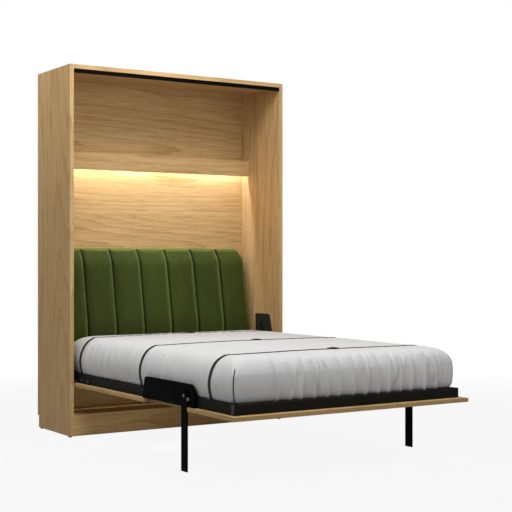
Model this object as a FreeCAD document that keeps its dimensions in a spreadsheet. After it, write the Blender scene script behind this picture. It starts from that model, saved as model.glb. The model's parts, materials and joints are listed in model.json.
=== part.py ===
import FreeCAD, Part
import math
import os
import Sketcher

# Vertical wall bed, opened: an oak cabinet, a headboard, a shelf with a light and a fold-down bed.
# Millimetres. X runs along the wall, +Y points to the wall, +Z is up.
# The origin is on the floor, in the middle of the opened bed's footprint.

SIZES = {
    # Mattress, which everything is built around
    "mattress_width": 1350.0,
    "mattress_length": 1900.0,
    "mattress_side_inset": 10.0,
    "mattress_foot_inset": 24.5,
    "mattress_head_inset": 5.0,
    "mattress_side_height": 211.5,
    "mattress_crown": 7.0,
    "mattress_bulge": 8.0,
    "mattress_shoulder": 95.0,
    "mattress_corner_radius": 42.0,
    "mattress_skirt_radius": 14.0,
    "mattress_gap": 0.3,
    # Cabinet
    "panel_thickness": 25.0,
    "glide_height": 7.0,
    "glide_radius": 11.0,
    "glide_inset": 24.0,
    "skirting_notch_depth": 19.0,
    "skirting_notch_height": 74.0,
    "plinth_height": 106.0,
    "plinth_setback": 2.0,
    "board_thickness": 18.0,
    "bottom_thickness": 19.0,
    "back_thickness": 10.0,
    "back_groove_depth": 6.0,
    "groove_clearance": 0.3,
    "wall_rail_height": 90.0,
    "back_joint_height": 1317.0,
    "wall_hole_radius": 4.5,
    "wall_hole_inset": 300.0,
    # Shelf, its light and the strip under the top panel
    "shelf_drop": 450.0,
    "shelf_depth": 70.0,
    "fascia_setback": 368.0,
    "fascia_height": 104.0,
    "fascia_end_gap": 0.5,
    "light_gap": 10.0,
    "light_width": 17.0,
    "light_height": 8.0,
    "light_end_gap": 20.0,
    "light_wall": 1.2,
    "light_strip_thickness": 1.5,
    "light_strip_width": 10.0,
    "strip_height": 25.0,
    "strip_depth": 20.0,
    "strip_thickness": 2.0,
    # Ledge and headboard
    "ledge_setback": 334.0,
    "ledge_height": 450.0,
    "headboard_side_gap": 34.5,
    "headboard_top": 1104.0,
    "headboard_bend_height": 620.0,
    "headboard_foot_setback": 307.0,
    "headboard_head_setback": 392.0,
    "headboard_channel_depth": 11.0,
    "headboard_top_radius": 62.0,
    "headboard_foot_radius": 20.0,
    "headboard_side_radius": 26.0,
    "headboard_clearance": 0.3,
    "headboard_board_thickness": 9.0,
    "headboard_board_inset": 14.0,
    # Door, which is the underside of the opened bed
    "door_gap": 4.0,
    "door_thickness": 20.0,
    "door_underside": 295.5,
    "door_inset": 1.0,
    "pivot_setback": 24.75,
    "leg_notch_depth": 40.0,
    "leg_notch_rear_gap": 57.0,
    "leg_notch_front_gap": 5.0,
    "relief_depth": 14.0,
    "relief_clearance": 2.0,
    # Steel frame and slats
    "frame_side_inset": 28.5,
    "frame_foot_inset": 47.5,
    "frame_head_inset": 3.0,
    "rail_width": 25.0,
    "rail_height": 50.0,
    "rail_wall": 1.5,
    "rail_corner_radius": 2.5,
    "cap_thickness": 2.0,
    "centre_rail_width": 30.0,
    "cross_rail_width": 30.0,
    "slat_thickness": 8.0,
    "slat_width": 53.0,
    "slat_edge_radius": 3.0,
    "slat_seat_gap": 0.3,
    "holder_length": 38.0,
    "holder_wall": 3.0,
    "door_screw_radius": 4.0,
    "door_screw_head": 2.5,
    # Hinge bracket, swing arm and gas strut
    "bracket_thickness": 3.0,
    "bracket_rear": 281.0,
    "bracket_head_rise": 57.0,
    "bracket_foot_drop": 83.25,
    "bracket_front": 6.0,
    "bracket_shoulder_rise": 25.75,
    "bracket_top_front": 127.0,
    "bracket_chamfer": 18.0,
    "bracket_chamfer_drop": 11.0,
    "bracket_neck_setback": 87.0,
    "bracket_neck_drop": 42.0,
    "bracket_corner_radius": 8.0,
    "bracket_rib_height": 5.0,
    "bracket_rib_width": 8.0,
    "boss_radius": 13.0,
    "boss_end_gap": 1.0,
    "bush_wall": 2.5,
    "pivot_pin_radius": 6.0,
    "pin_clearance": 0.05,
    "arm_thickness": 4.0,
    "arm_front": 160.0,
    "arm_rear": 176.0,
    "arm_bolt_radius": 5.5,
    "arm_bolt_head": 3.5,
    "arm_bolt_height": 20.0,
    "arm_bolt_first": 45.0,
    "arm_bolt_second": 135.0,
    "arm_bolt_rear": 90.0,
    "strut_top_setback": 200.0,
    "strut_top_rise": 300.75,
    "lever_reach": 125.6,
    "lever_rise": 33.6,
    "strut_radius": 10.0,
    "strut_wall": 1.5,
    "strut_floor": 3.0,
    "strut_lip": 6.0,
    "strut_mouth_gap": 29.7,
    "strut_eye_radius": 9.0,
    "strut_eye_width": 10.0,
    "strut_offset": 13.5,
    "rod_radius": 4.0,
    "rod_head_gap": 35.7,
    "rod_piston_height": 12.0,
    "rod_piston_clearance": 0.1,
    "strut_pin_radius": 4.0,
    "open_pivot_clearance": 0.8,
    "stub_radius": 7.0,
    "screw_head_radius": 5.0,
    "screw_head_height": 2.5,
    "screw_edge_gap": 24.0,
    "screw_pivot_gap": 90.75,
    # Straps
    "strap_thickness": 1.6,
    "strap_width": 25.0,
    "strap_gap": 0.3,
    "strap_head_inset": 212.0,
    "strap_middle_shift": 20.0,
    "strap_foot_inset": 208.0,
    "buckle_length": 60.0,
    "buckle_width": 31.0,
    "buckle_height": 4.5,
    "buckle_bar_width": 6.0,
    "buckle_centre": 47.0,
    "anchor_width": 10.0,
    "anchor_height": 2.5,
    "anchor_length": 34.0,
    # Legs and their brackets
    "leg_foot_distance": 472.0,
    "leg_pivot_rise": 5.5,
    "leg_width": 55.0,
    "leg_thickness": 8.0,
    "leg_gap": 1.0,
    "leg_pad_height": 3.0,
    "leg_bracket_overlap": 4.0,
    "leg_bracket_front": 84.0,
    "leg_bracket_rise": 62.5,
    "leg_bracket_slant": 26.0,
    "leg_bracket_depth": 16.5,
    "leg_bracket_wall": 3.0,
    "leg_bracket_rear_radius": 12.0,
    "leg_bracket_front_radius": 56.0,
    "leg_spacer_length": 40.0,
    "leg_spacer_inset": 60.0,
    "leg_bolt_radius": 5.0,
    "leg_bolt_head_radius": 8.0,
    "leg_bolt_head": 2.5,
    "stop_bolt_radius": 9.0,
    "stop_bolt_drop": 15.0,
    "stop_gap": 0.4,
    # One overrun serves every cut that has to pass a face
    "overrun": 5.0,
}

CHANNEL_COUNT = 7
SLAT_COUNT = 14
CROSS_RAIL_COUNT = 3
# How much of a rounding's radius is drawn in, and how far along it, at each loft section
ROUNDING_SHARES = [(1.0, 0.0), (0.62, 0.08), (0.29, 0.29), (0.08, 0.62), (0.0, 1.0)]
# Where the sections of a mattress end lie, over its shoulder's radius
END_SHARES = [0.0, 0.06, 0.18, 0.36, 0.64, 1.0]


class Size:
    """A length that knows its spreadsheet expression and its value."""

    def __init__(self, text, value):
        self.text = text
        self.value = value

    def combine(self, other, sign, value):
        other_text = other.text if isinstance(other, Size) else repr(float(other))
        return Size(f"({self.text} {sign} {other_text})", value)

    def __add__(self, other):
        return self.combine(other, "+", self.value + number(other))

    def __sub__(self, other):
        return self.combine(other, "-", self.value - number(other))

    def __mul__(self, other):
        return self.combine(other, "*", self.value * number(other))

    def __truediv__(self, other):
        return self.combine(other, "/", self.value / number(other))

    def __neg__(self):
        return self * -1


def number(item):
    return item.value if isinstance(item, Size) else float(item)


doc = FreeCAD.newDocument("WallBed")
sheet = doc.addObject("Spreadsheet::Sheet", "Sizes")
for row, (name, value) in enumerate(SIZES.items(), start=1):
    sheet.set(f"A{row}", name)
    sheet.set(f"B{row}", str(value))
    sheet.setAlias(f"B{row}", name)
doc.recompute()

named = {name: Size(f"Sizes.{name}", value) for name, value in SIZES.items()}
zero = Size("0", 0.0)
parts = []


# Places worked out from the sizes

# Outwards from the mattress: the steel frame, the door and the cabinet
frame_half = named["mattress_width"] / 2 + named["mattress_side_inset"]
door_half = frame_half + named["frame_side_inset"]
inner_half = door_half + named["door_gap"]
half_width = inner_half + named["panel_thickness"]
panel_foot = named["glide_height"]
bottom_low = panel_foot + named["plinth_height"]
bottom_top = bottom_low + named["bottom_thickness"]

# The closed door stands in the opening with its gap, and the pivot follows from that
pivot_height = named["pivot_setback"] + named["door_underside"] - named["door_inset"]
door_head_reach = pivot_height - bottom_top - named["door_gap"]
mattress_head_reach = door_head_reach - named["frame_head_inset"] - named["mattress_head_inset"]
mattress_foot_reach = named["mattress_length"] - mattress_head_reach
door_foot_reach = mattress_foot_reach + named["mattress_foot_inset"] + named["frame_foot_inset"]
opening_top = pivot_height + door_foot_reach + named["door_gap"]
ceiling = opening_top + named["strip_height"]
cabinet_top = ceiling + named["panel_thickness"]
shelf_rear = named["fascia_setback"] + named["board_thickness"] + named["shelf_depth"]
cabinet_depth = shelf_rear + named["back_thickness"] + named["board_thickness"]
front = (door_foot_reach - named["pivot_setback"] - cabinet_depth) / 2
back = front + cabinet_depth
pivot_y = front + named["pivot_setback"]
door_top = named["door_underside"] + named["door_thickness"]
door_foot = pivot_y - door_foot_reach
door_head = pivot_y + door_head_reach

back_rear = back - named["board_thickness"]
back_face = back_rear - named["back_thickness"]
ledge_face = front + named["ledge_setback"]
fascia_face = front + named["fascia_setback"]
fascia_rear = fascia_face + named["board_thickness"]
shelf_top = ceiling - named["shelf_drop"]
shelf_low = shelf_top - named["board_thickness"]

frame_foot = door_foot + named["frame_foot_inset"]
frame_head = door_head - named["frame_head_inset"]
rail_top = door_top + named["rail_height"]
rail_inner = frame_half - named["rail_width"]
slat_top = rail_top - named["slat_seat_gap"]
slat_low = slat_top - named["slat_thickness"]
centre_top = slat_low - named["slat_seat_gap"]

bracket_inner = inner_half - named["bracket_thickness"]
arm_outer = frame_half + named["arm_thickness"]
strut_centre = bracket_inner - named["strut_offset"]
strut_top_y = front + named["strut_top_setback"]
strut_top_z = pivot_height + named["strut_top_rise"]
bracket_top = strut_top_z + named["bracket_head_rise"]
bracket_neck = strut_top_z - named["bracket_neck_drop"]
bracket_shoulder = pivot_height + named["bracket_shoulder_rise"]
bracket_bottom = pivot_height - named["bracket_foot_drop"]
lever_y = pivot_y + named["lever_reach"]
lever_z = pivot_height + named["lever_rise"]

leg_outer = door_half
leg_inner = leg_outer - named["leg_thickness"]
leg_web = leg_inner - named["leg_gap"]
leg_y = door_foot + named["leg_foot_distance"]
leg_pivot = rail_top + named["leg_pivot_rise"]
leg_notch_rear = leg_y + leg_pivot + named["leg_notch_rear_gap"]
leg_notch_front = leg_y - named["leg_width"] / 2 - named["leg_notch_front_gap"]

mattress_low = rail_top + named["mattress_gap"]
mattress_foot = frame_foot + named["mattress_foot_inset"]
mattress_head = mattress_foot + named["mattress_length"]


def keep(item, label):
    """Give a finished sub-part the label that names its file."""
    item.Label = label
    parts.append(item)
    return item


def bind(item, **sizes):
    """Bind properties of an object to sizes."""
    for key, size in sizes.items():
        item.setExpression(key, size.text)


def move(item, x, y, z):
    """Bind an object's place to sizes."""
    item.setExpression(".Placement.Base.x", x.text)
    item.setExpression(".Placement.Base.y", y.text)
    item.setExpression(".Placement.Base.z", z.text)


def box(name, low, high):
    """A box between two corners."""
    item = doc.addObject("Part::Box", name)
    bind(item, Length=high[0] - low[0], Width=high[1] - low[1], Height=high[2] - low[2])
    move(item, *low)
    return item


def rod_x(name, start, y, z, radius, length):
    """A cylinder that runs along +X from its start."""
    item = doc.addObject("Part::Cylinder", name)
    bind(item, Radius=radius, Height=length)
    item.Placement = FreeCAD.Placement(FreeCAD.Vector(), FreeCAD.Rotation(FreeCAD.Vector(0, 1, 0), 90))
    move(item, start, y, z)
    return item


def rod_z(name, x, y, start, radius, length):
    """A cylinder that runs up from its start."""
    item = doc.addObject("Part::Cylinder", name)
    bind(item, Radius=radius, Height=length)
    move(item, x, y, start)
    return item


def group(label, items):
    """Separate equal solids that share one node."""
    item = doc.addObject("Part::Compound", label)
    item.Links = items
    return keep(item, label)


def body_named(label):
    body = doc.addObject("PartDesign::Body", label)
    return keep(body, label)


def sketch_on(body, role, start):
    """A sketch on one of the body's own planes, moved along the plane's normal."""
    plane = next(item for item in body.Origin.OriginFeatures if item.Role == role)
    sketch = body.newObject("Sketcher::SketchObject", f"{body.Name}_sketch")
    sketch.AttachmentSupport = [(plane, "")]
    sketch.MapMode = "FlatFace"
    sketch.setExpression(".AttachmentOffset.Base.z", start.text)
    return sketch


def hold_point(sketch, geometry, vertex, point):
    """Hold a sketch point at its two sizes."""
    for kind, size in zip(("DistanceX", "DistanceY"), point):
        index = sketch.addConstraint(Sketcher.Constraint(kind, -1, 1, geometry, vertex, size.value))
        sketch.setExpression(f"Constraints[{index}]", size.text)


def draw_outline(sketch, points):
    """A closed outline of straight lines through points given as sizes."""
    corners = [FreeCAD.Vector(point[0].value, point[1].value, 0) for point in points]
    count = len(points)
    first = sketch.GeometryCount
    for index in range(count):
        sketch.addGeometry(Part.LineSegment(corners[index], corners[(index + 1) % count]), False)
    for index in range(count):
        after = first + (index + 1) % count
        sketch.addConstraint(Sketcher.Constraint("Coincident", first + index, 2, after, 1))
        hold_point(sketch, first + index, 1, points[index])


def draw_circle(sketch, centre, radius):
    place = FreeCAD.Vector(centre[0].value, centre[1].value, 0)
    index = sketch.addGeometry(Part.Circle(place, FreeCAD.Vector(0, 0, 1), radius.value), False)
    hold_point(sketch, index, 3, centre)
    constraint = sketch.addConstraint(Sketcher.Constraint("Radius", index, radius.value))
    sketch.setExpression(f"Constraints[{constraint}]", radius.text)


def rectangle(low, high):
    return [low, (high[0], low[1]), high, (low[0], high[1])]


def pad(body, role, start, length, outlines=(), circles=()):
    """Pad a sketch along its plane's normal."""
    sketch = sketch_on(body, role, start)
    for points in outlines:
        draw_outline(sketch, points)
    for centre, radius in circles:
        draw_circle(sketch, centre, radius)
    feature = body.newObject("PartDesign::Pad", f"{body.Name}_pad")
    feature.Profile = sketch
    bind(feature, Length=length)
    sketch.Visibility = False
    return feature


def pocket(body, role, start, length, outlines=(), circles=()):
    """Cut a sketch out along its plane's normal."""
    sketch = sketch_on(body, role, start)
    for points in outlines:
        draw_outline(sketch, points)
    for centre, radius in circles:
        draw_circle(sketch, centre, radius)
    feature = body.newObject("PartDesign::Pocket", f"{body.Name}_pocket")
    feature.Profile = sketch
    feature.Reversed = True
    bind(feature, Length=length)
    sketch.Visibility = False
    return feature


def fillet(body, radius, wanted):
    """Round the edges of the body's last feature for which the test holds."""
    doc.recompute()
    tip = body.Tip
    names = [f"Edge{index}" for index, edge in enumerate(tip.Shape.Edges, start=1) if wanted(edge)]
    feature = body.newObject("PartDesign::Fillet", f"{body.Name}_fillet")
    feature.Base = (tip, names)
    bind(feature, Radius=radius)
    return feature


def near(value, size):
    return abs(value - size.value) < named["pin_clearance"].value


def along(edge, axis):
    """True for a straight edge along an axis."""
    ends = edge.Vertexes
    if len(ends) != 2 or not isinstance(edge.Curve, (Part.Line, Part.LineSegment)):
        return False
    run = ends[1].Point - ends[0].Point
    return abs(run[axis]) > named["pin_clearance"].value and abs(abs(run[axis]) - run.Length) < 1e-6


def span(side, inner, outer):
    """Start and length along X of a slab that is mirrored to the given side."""
    start = inner if side > 0 else -outer
    return start, outer - inner


SIDES = (("left", -1), ("right", 1))


# Cabinet

def side_panel(name, side):
    """An upright with the skirting notch and a groove for the back panels."""
    body = body_named(f"side_panel_{name}")
    start, length = span(side, inner_half, half_width)
    notch_y = back - named["skirting_notch_depth"]
    notch_z = panel_foot + named["skirting_notch_height"]
    outline = [
        (front, panel_foot),
        (notch_y, panel_foot),
        (notch_y, notch_z),
        (back, notch_z),
        (back, cabinet_top),
        (front, cabinet_top),
    ]
    pad(body, "YZ_Plane", start, length, [outline])
    clearance = named["groove_clearance"]
    groove = rectangle((back_face - clearance, bottom_low), (back_rear + clearance, ceiling))
    reach = named["overrun"]
    depth = named["back_groove_depth"] + clearance
    groove_start = inner_half - reach if side > 0 else -(inner_half + depth)
    pocket(body, "YZ_Plane", groove_start, depth + reach, [groove])


def back_panel(name, low, high):
    reach = inner_half + named["back_groove_depth"]
    keep(box(name, (-reach, back_face, low), (reach, back_rear, high)), name)


def wall_rail(name, low):
    """A rail behind the back panels with two holes for the wall screws."""
    body = body_named(name)
    outline = rectangle((-inner_half, low), (inner_half, low + named["wall_rail_height"]))
    middle = low + named["wall_rail_height"] / 2
    reach = inner_half - named["wall_hole_inset"]
    holes = [((x, middle), named["wall_hole_radius"]) for x in (-reach, reach)]
    pad(body, "XZ_Plane", -back, named["board_thickness"], [outline], holes)


def board(name, low_y, high_y, low, high):
    """A board across the cabinet, from one side panel to the other."""
    keep(box(name, (-inner_half, low_y, low), (inner_half, high_y, high)), name)


def cabinet():
    for name, side in SIDES:
        side_panel(name, side)
    thickness = named["board_thickness"]
    plinth_front = front + named["plinth_setback"]
    board("top_panel", front, back, ceiling, cabinet_top)
    board("bottom_panel", front, back_face, bottom_low, bottom_top)
    board("plinth_board", plinth_front, plinth_front + thickness, panel_foot, bottom_low)
    board("rear_plinth_board", back_face - thickness, back_face, panel_foot, bottom_low)
    back_panel("back_panel_lower", bottom_low, named["back_joint_height"])
    back_panel("back_panel_upper", named["back_joint_height"], ceiling)
    wall_rail("wall_rail_top", ceiling - named["wall_rail_height"])
    wall_rail("wall_rail_middle", named["back_joint_height"] - named["wall_rail_height"] / 2)
    wall_rail("wall_rail_bottom", bottom_low)
    glides = []
    middle = half_width - named["panel_thickness"] / 2
    for x in (-middle, middle):
        for y in (front + named["glide_inset"], back - named["skirting_notch_depth"] - named["glide_inset"]):
            glides.append(rod_z("glide", x, y, zero, named["glide_radius"], panel_foot))
    group("cabinet_glides", glides)


def top_strip():
    """A black steel angle that closes the gap over the door."""
    body = body_named("top_strip")
    wall = named["strip_thickness"]
    outline = [
        (front, ceiling),
        (front, opening_top),
        (front + wall, opening_top),
        (front + wall, ceiling - wall),
        (front + named["strip_depth"], ceiling - wall),
        (front + named["strip_depth"], ceiling),
    ]
    pad(body, "YZ_Plane", -inner_half, inner_half * 2, [outline])


def shelf():
    end = inner_half - named["fascia_end_gap"]
    fascia_low = (-end, fascia_face, shelf_top - named["fascia_height"])
    keep(box("shelf_fascia", fascia_low, (end, fascia_rear, shelf_top)), "shelf_fascia")
    keep(box("shelf_board", (-end, fascia_rear, shelf_low), (end, back_face, shelf_top)), "shelf_board")
    # The light: an aluminium channel under the board, the lamp strip in it and the cover below
    light_end = end - named["light_end_gap"]
    light_y = fascia_rear + named["light_gap"]
    light_low = shelf_low - named["light_height"]
    wall = named["light_wall"]
    light_rear = light_y + named["light_width"]
    body = body_named("light_channel")
    outline = [
        (light_y, light_low),
        (light_y + wall, light_low),
        (light_y + wall, shelf_low - wall),
        (light_rear - wall, shelf_low - wall),
        (light_rear - wall, light_low),
        (light_rear, light_low),
        (light_rear, shelf_low),
        (light_y, shelf_low),
    ]
    pad(body, "YZ_Plane", -light_end, light_end * 2, [outline])
    strip_y = light_y + (named["light_width"] - named["light_strip_width"]) / 2
    strip_top = shelf_low - wall
    strip_low = strip_top - named["light_strip_thickness"]
    strip_rear = strip_y + named["light_strip_width"]
    strip_high = (light_end, strip_rear, strip_top)
    keep(box("light_strip", (-light_end, strip_y, strip_low), strip_high), "light_strip")
    cover_low = (-light_end, light_y + wall, light_low)
    cover_high = (light_end, light_rear - wall, light_low + wall)
    keep(box("light_cover", cover_low, cover_high), "light_cover")


def ledge():
    """The boxed step that the headboard stands on."""
    top = named["ledge_height"]
    thickness = named["board_thickness"]
    board("ledge_front_board", ledge_face, ledge_face + thickness, bottom_top, top - thickness)
    board("ledge_top_board", ledge_face, back_face, top - thickness, top)


# Headboard

def headboard_section(height, face_y, side_inset, rear_y, channel_depth):
    """One level outline: a straight back and one shallow arc for each channel."""
    half = inner_half.value - named["headboard_side_gap"].value - side_inset
    step = 2 * half / CHANNEL_COUNT
    rear_left = FreeCAD.Vector(-half, rear_y, height)
    rear_right = FreeCAD.Vector(half, rear_y, height)
    edges = []
    for index in range(CHANNEL_COUNT):
        start = FreeCAD.Vector(-half + index * step, face_y, height)
        crest = start + FreeCAD.Vector(step / 2, -channel_depth, 0)
        end = start + FreeCAD.Vector(step, 0, 0)
        edges.append(Part.Arc(start, crest, end).toShape())
    face_right = FreeCAD.Vector(half, face_y, height)
    face_left = FreeCAD.Vector(-half, face_y, height)
    edges.append(Part.makeLine(face_right, rear_right))
    edges.append(Part.makeLine(rear_right, rear_left))
    edges.append(Part.makeLine(rear_left, face_left))
    return Part.Wire(edges)


def headboard():
    """A leaning padded board with upright channels and a rounded top."""
    low = named["ledge_height"].value + named["headboard_clearance"].value
    top = named["headboard_top"].value
    foot_face = front.value + named["headboard_foot_setback"].value
    head_face = front.value + named["headboard_head_setback"].value
    rear = back_face.value - named["headboard_board_thickness"].value
    bend = named["headboard_bend_height"].value
    lean = (head_face - foot_face) / (top - bend)
    depth = named["headboard_channel_depth"].value
    foot_radius = named["headboard_foot_radius"].value
    top_radius = named["headboard_top_radius"].value
    side_radius = named["headboard_side_radius"].value
    wires = []
    for inset_share, rise_share in ROUNDING_SHARES:
        height = low + foot_radius * rise_share
        face = foot_face + foot_radius * inset_share
        wires.append(headboard_section(height, face, side_radius * inset_share / 2, rear, depth))
    # The face is upright to the bend, leans back above it and turns over at the top
    wires.append(headboard_section(bend, foot_face, 0, rear, depth))
    for inset_share, rise_share in reversed(ROUNDING_SHARES):
        height = top - top_radius * rise_share
        upright = foot_face + lean * (height - bend)
        face = upright + min(top_radius, (rear - upright) / 2) * inset_share
        crest = depth * (1 - inset_share / 2)
        wires.append(headboard_section(height, face, side_radius * inset_share, rear, crest))
    cushion = doc.addObject("Part::Feature", "headboard_cushion")
    cushion.Shape = Part.makeLoft(wires, True, True)
    keep(cushion, "headboard_cushion")
    inset = named["headboard_board_inset"]
    board_half = inner_half - named["headboard_side_gap"] - inset
    board_low = (-board_half, back_face - named["headboard_board_thickness"], named["ledge_height"])
    board_high = (board_half, back_face, named["headboard_top"] - inset)
    keep(box("headboard_board", board_low, board_high), "headboard_board")


# Door and steel frame

def door():
    """The front panel, with a notch for each folding leg and a relief for each hinge boss."""
    body = body_named("door_panel")
    outline = rectangle((-door_half, door_foot), (door_half, door_head))
    pad(body, "XY_Plane", named["door_underside"], named["door_thickness"], [outline])
    reach = named["overrun"]
    notches = []
    reliefs = []
    relief_inner = frame_half - named["relief_clearance"]
    relief_half = named["boss_radius"] + named["relief_clearance"]
    for name, side in SIDES:
        inner, length = span(side, door_half - named["leg_notch_depth"], door_half + reach)
        notches.append(rectangle((inner, leg_notch_front), (inner + length, leg_notch_rear)))
        inner, length = span(side, relief_inner, door_half + reach)
        reliefs.append(rectangle((inner, pivot_y - relief_half), (inner + length, pivot_y + relief_half)))
    through = named["door_thickness"] + reach * 2
    pocket(body, "XY_Plane", named["door_underside"] - reach, through, notches)
    pocket(body, "XY_Plane", door_top - named["relief_depth"], named["relief_depth"] + reach, reliefs)


def tube_loops(low, high):
    """The outer and inner rectangles of a square tube."""
    wall = named["rail_wall"]
    return [rectangle(low, high), rectangle((low[0] + wall, low[1] + wall), (high[0] - wall, high[1] - wall))]


def round_tube(body, axis, low, high):
    """Round a tube's four long outer edges."""
    def outer(edge):
        point = edge.Vertexes[0].Point
        places = [point[index] for index in range(3) if index != axis]
        sides = zip(places, low, high)
        return along(edge, axis) and all(near(place, near_side) or near(place, far_side)
                                         for place, near_side, far_side in sides)

    fillet(body, named["rail_corner_radius"], outer)


def end_rail(name, low_y, high_y):
    body = body_named(name)
    low, high = (low_y, door_top), (high_y, rail_top)
    pad(body, "YZ_Plane", -frame_half, frame_half * 2, tube_loops(low, high))
    round_tube(body, 0, low, high)


def frame():
    side_low = frame_foot + named["rail_width"]
    side_high = frame_head - named["rail_width"]
    for name, side in SIDES:
        body = body_named(f"side_rail_{name}")
        start, length = span(side, rail_inner, frame_half)
        low, high = (start, door_top), (start + length, rail_top)
        pad(body, "XZ_Plane", -side_high, side_high - side_low, tube_loops(low, high))
        round_tube(body, 1, low, high)
    end_rail("foot_rail", frame_foot, side_low)
    end_rail("head_rail", side_high, frame_head)
    caps = []
    for low_y in (frame_foot, side_high):
        for side in (-1, 1):
            start, length = span(side, frame_half, frame_half + named["cap_thickness"])
            high = (start + length, low_y + named["rail_width"], rail_top)
            caps.append(box("rail_cap", (start, low_y, door_top), high))
    group("rail_end_caps", caps)
    half = named["centre_rail_width"] / 2
    body = body_named("centre_rail")
    pad(body, "XZ_Plane", -side_high, side_high - side_low, tube_loops((-half, door_top), (half, centre_top)))
    pieces = []
    step = (side_high - side_low) / (CROSS_RAIL_COUNT + 1)
    cross_top = centre_top - named["holder_wall"]
    for index in range(CROSS_RAIL_COUNT):
        low_y = side_low + step * (index + 1) - named["cross_rail_width"] / 2
        for low_x, high_x in ((-rail_inner, -half), (half, rail_inner)):
            high = (high_x, low_y + named["cross_rail_width"], cross_top)
            outer = box("cross_rail_outer", (low_x, low_y, door_top), high)
            wall = named["rail_wall"]
            hollow_low = (low_x, low_y + wall, door_top + wall)
            hollow_high = (high_x, high[1] - wall, cross_top - wall)
            hollow = box("cross_rail_hollow", hollow_low, hollow_high)
            tube = doc.addObject("Part::Cut", "cross_rail")
            tube.Base = outer
            tube.Tool = hollow
            pieces.append(tube)
    group("cross_rails", pieces)


def slats():
    """Bent-wood slats with rounded edges, in plastic holders on the side rails."""
    side_low = frame_foot + named["rail_width"]
    side_high = frame_head - named["rail_width"]
    step = (side_high - side_low) / SLAT_COUNT
    end = rail_inner - named["holder_wall"]
    items = []
    holders = []
    wall = named["holder_wall"]
    for index in range(SLAT_COUNT):
        middle = side_low + step * (index + 0.5)
        low_y = middle - named["slat_width"] / 2
        high_y = middle + named["slat_width"] / 2
        slab = box("slat_blank", (-end, low_y, slat_low), (end, high_y, slat_top))
        doc.recompute()
        rounded = doc.addObject("Part::Fillet", "slat")
        rounded.Base = slab
        long_edges = [number for number, edge in enumerate(slab.Shape.Edges, start=1) if along(edge, 0)]
        radius = named["slat_edge_radius"].value
        rounded.Edges = [(number, radius, radius) for number in long_edges]
        items.append(rounded)
        for side in (-1, 1):
            start, length = span(side, rail_inner - named["holder_length"], rail_inner)
            low = (start, low_y - wall, slat_low - wall)
            high = (start + length, high_y + wall, slat_top)
            shell = box("holder_block", low, high)
            gap = named["slat_seat_gap"]
            holder_inner = rail_inner - named["holder_length"]
            inner, inner_length = span(side, holder_inner - gap, rail_inner - wall + gap)
            room_low = (inner, low_y - gap, slat_low)
            room_high = (inner + inner_length, high_y + gap, slat_top + gap)
            room = box("holder_room", room_low, room_high)
            holder = doc.addObject("Part::Cut", "slat_holder")
            holder.Base = shell
            holder.Tool = room
            holders.append(holder)
    group("slats", items)
    group("slat_holders", holders)


def door_screws():
    """Screws that hold the door to the centre rail's foot and the head and foot rails."""
    radius = named["door_screw_radius"]
    items = []
    reach = frame_half / 2
    for x in (-reach, reach):
        for y in (frame_foot + named["rail_width"] / 2, frame_head - named["rail_width"] / 2):
            low = door_top + named["rail_wall"]
            items.append(rod_z("door_screw", x, y, low, radius, named["door_screw_head"]))
    group("door_screws", items)


# Hinge brackets, swing arms and gas struts

def hinge_bracket(name, side):
    """The plate on the cabinet's side that carries the bed's pivot and the gas strut."""
    body = body_named(f"hinge_bracket_{name}")
    start, length = span(side, bracket_inner, inner_half)
    head_front = front + named["bracket_top_front"]
    outline = [
        (front + named["bracket_front"], bracket_bottom),
        (front + named["bracket_rear"], bracket_bottom),
        (front + named["bracket_rear"], bracket_top),
        (head_front, bracket_top),
        (head_front - named["bracket_chamfer"], bracket_top - named["bracket_chamfer_drop"]),
        (front + named["bracket_neck_setback"], bracket_neck),
        (front + named["bracket_front"], bracket_shoulder),
    ]
    pad(body, "YZ_Plane", start, length, [outline])
    corner = named["bracket_corner_radius"]
    rear = front + named["bracket_rear"]
    fillet(body, corner, lambda edge: along(edge, 0) and near(edge.Vertexes[0].Y, rear))
    # A raised rib along the rear edge stiffens the plate
    rib_rise = named["bracket_rib_height"]
    rib_start, rib_length = span(side, bracket_inner - rib_rise, bracket_inner)
    rib_rear = rear - corner
    rib_front = rib_rear - named["bracket_rib_width"]
    rib = rectangle((rib_front, bracket_bottom + corner), (rib_rear, bracket_top - corner))
    pad(body, "YZ_Plane", rib_start, rib_length, [rib])
    # The boss takes the bush, and the pin above it takes the strut's eye
    boss_inner = arm_outer + named["boss_end_gap"]
    boss_start, boss_length = span(side, boss_inner, bracket_inner)
    bore = named["pivot_pin_radius"] + named["pin_clearance"] + named["bush_wall"]
    centre = (pivot_y, pivot_height)
    pad(body, "YZ_Plane", boss_start, boss_length, [], [(centre, named["boss_radius"]), (centre, bore)])
    pin_inner = strut_centre - named["strut_eye_width"] / 2
    pin_start, pin_length = span(side, pin_inner, bracket_inner)
    pin_centre = (strut_top_y, strut_top_z)
    pad(body, "YZ_Plane", pin_start, pin_length, [], [(pin_centre, named["strut_pin_radius"])])


def bracket_screw_places():
    """Places of one bracket's screws, clear of the strut and of the door's sweep."""
    gap = named["screw_edge_gap"]
    rear = front + named["bracket_rear"] - gap - named["screw_head_radius"]
    upper = bracket_top - gap
    lower = bracket_bottom + gap
    neck = front + named["bracket_neck_setback"]
    return [
        (rear, upper),
        (rear, lower),
        (rear, (upper + lower) / 2),
        (neck + gap, bracket_neck),
        (neck - gap, pivot_height + named["screw_pivot_gap"]),
    ]


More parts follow.
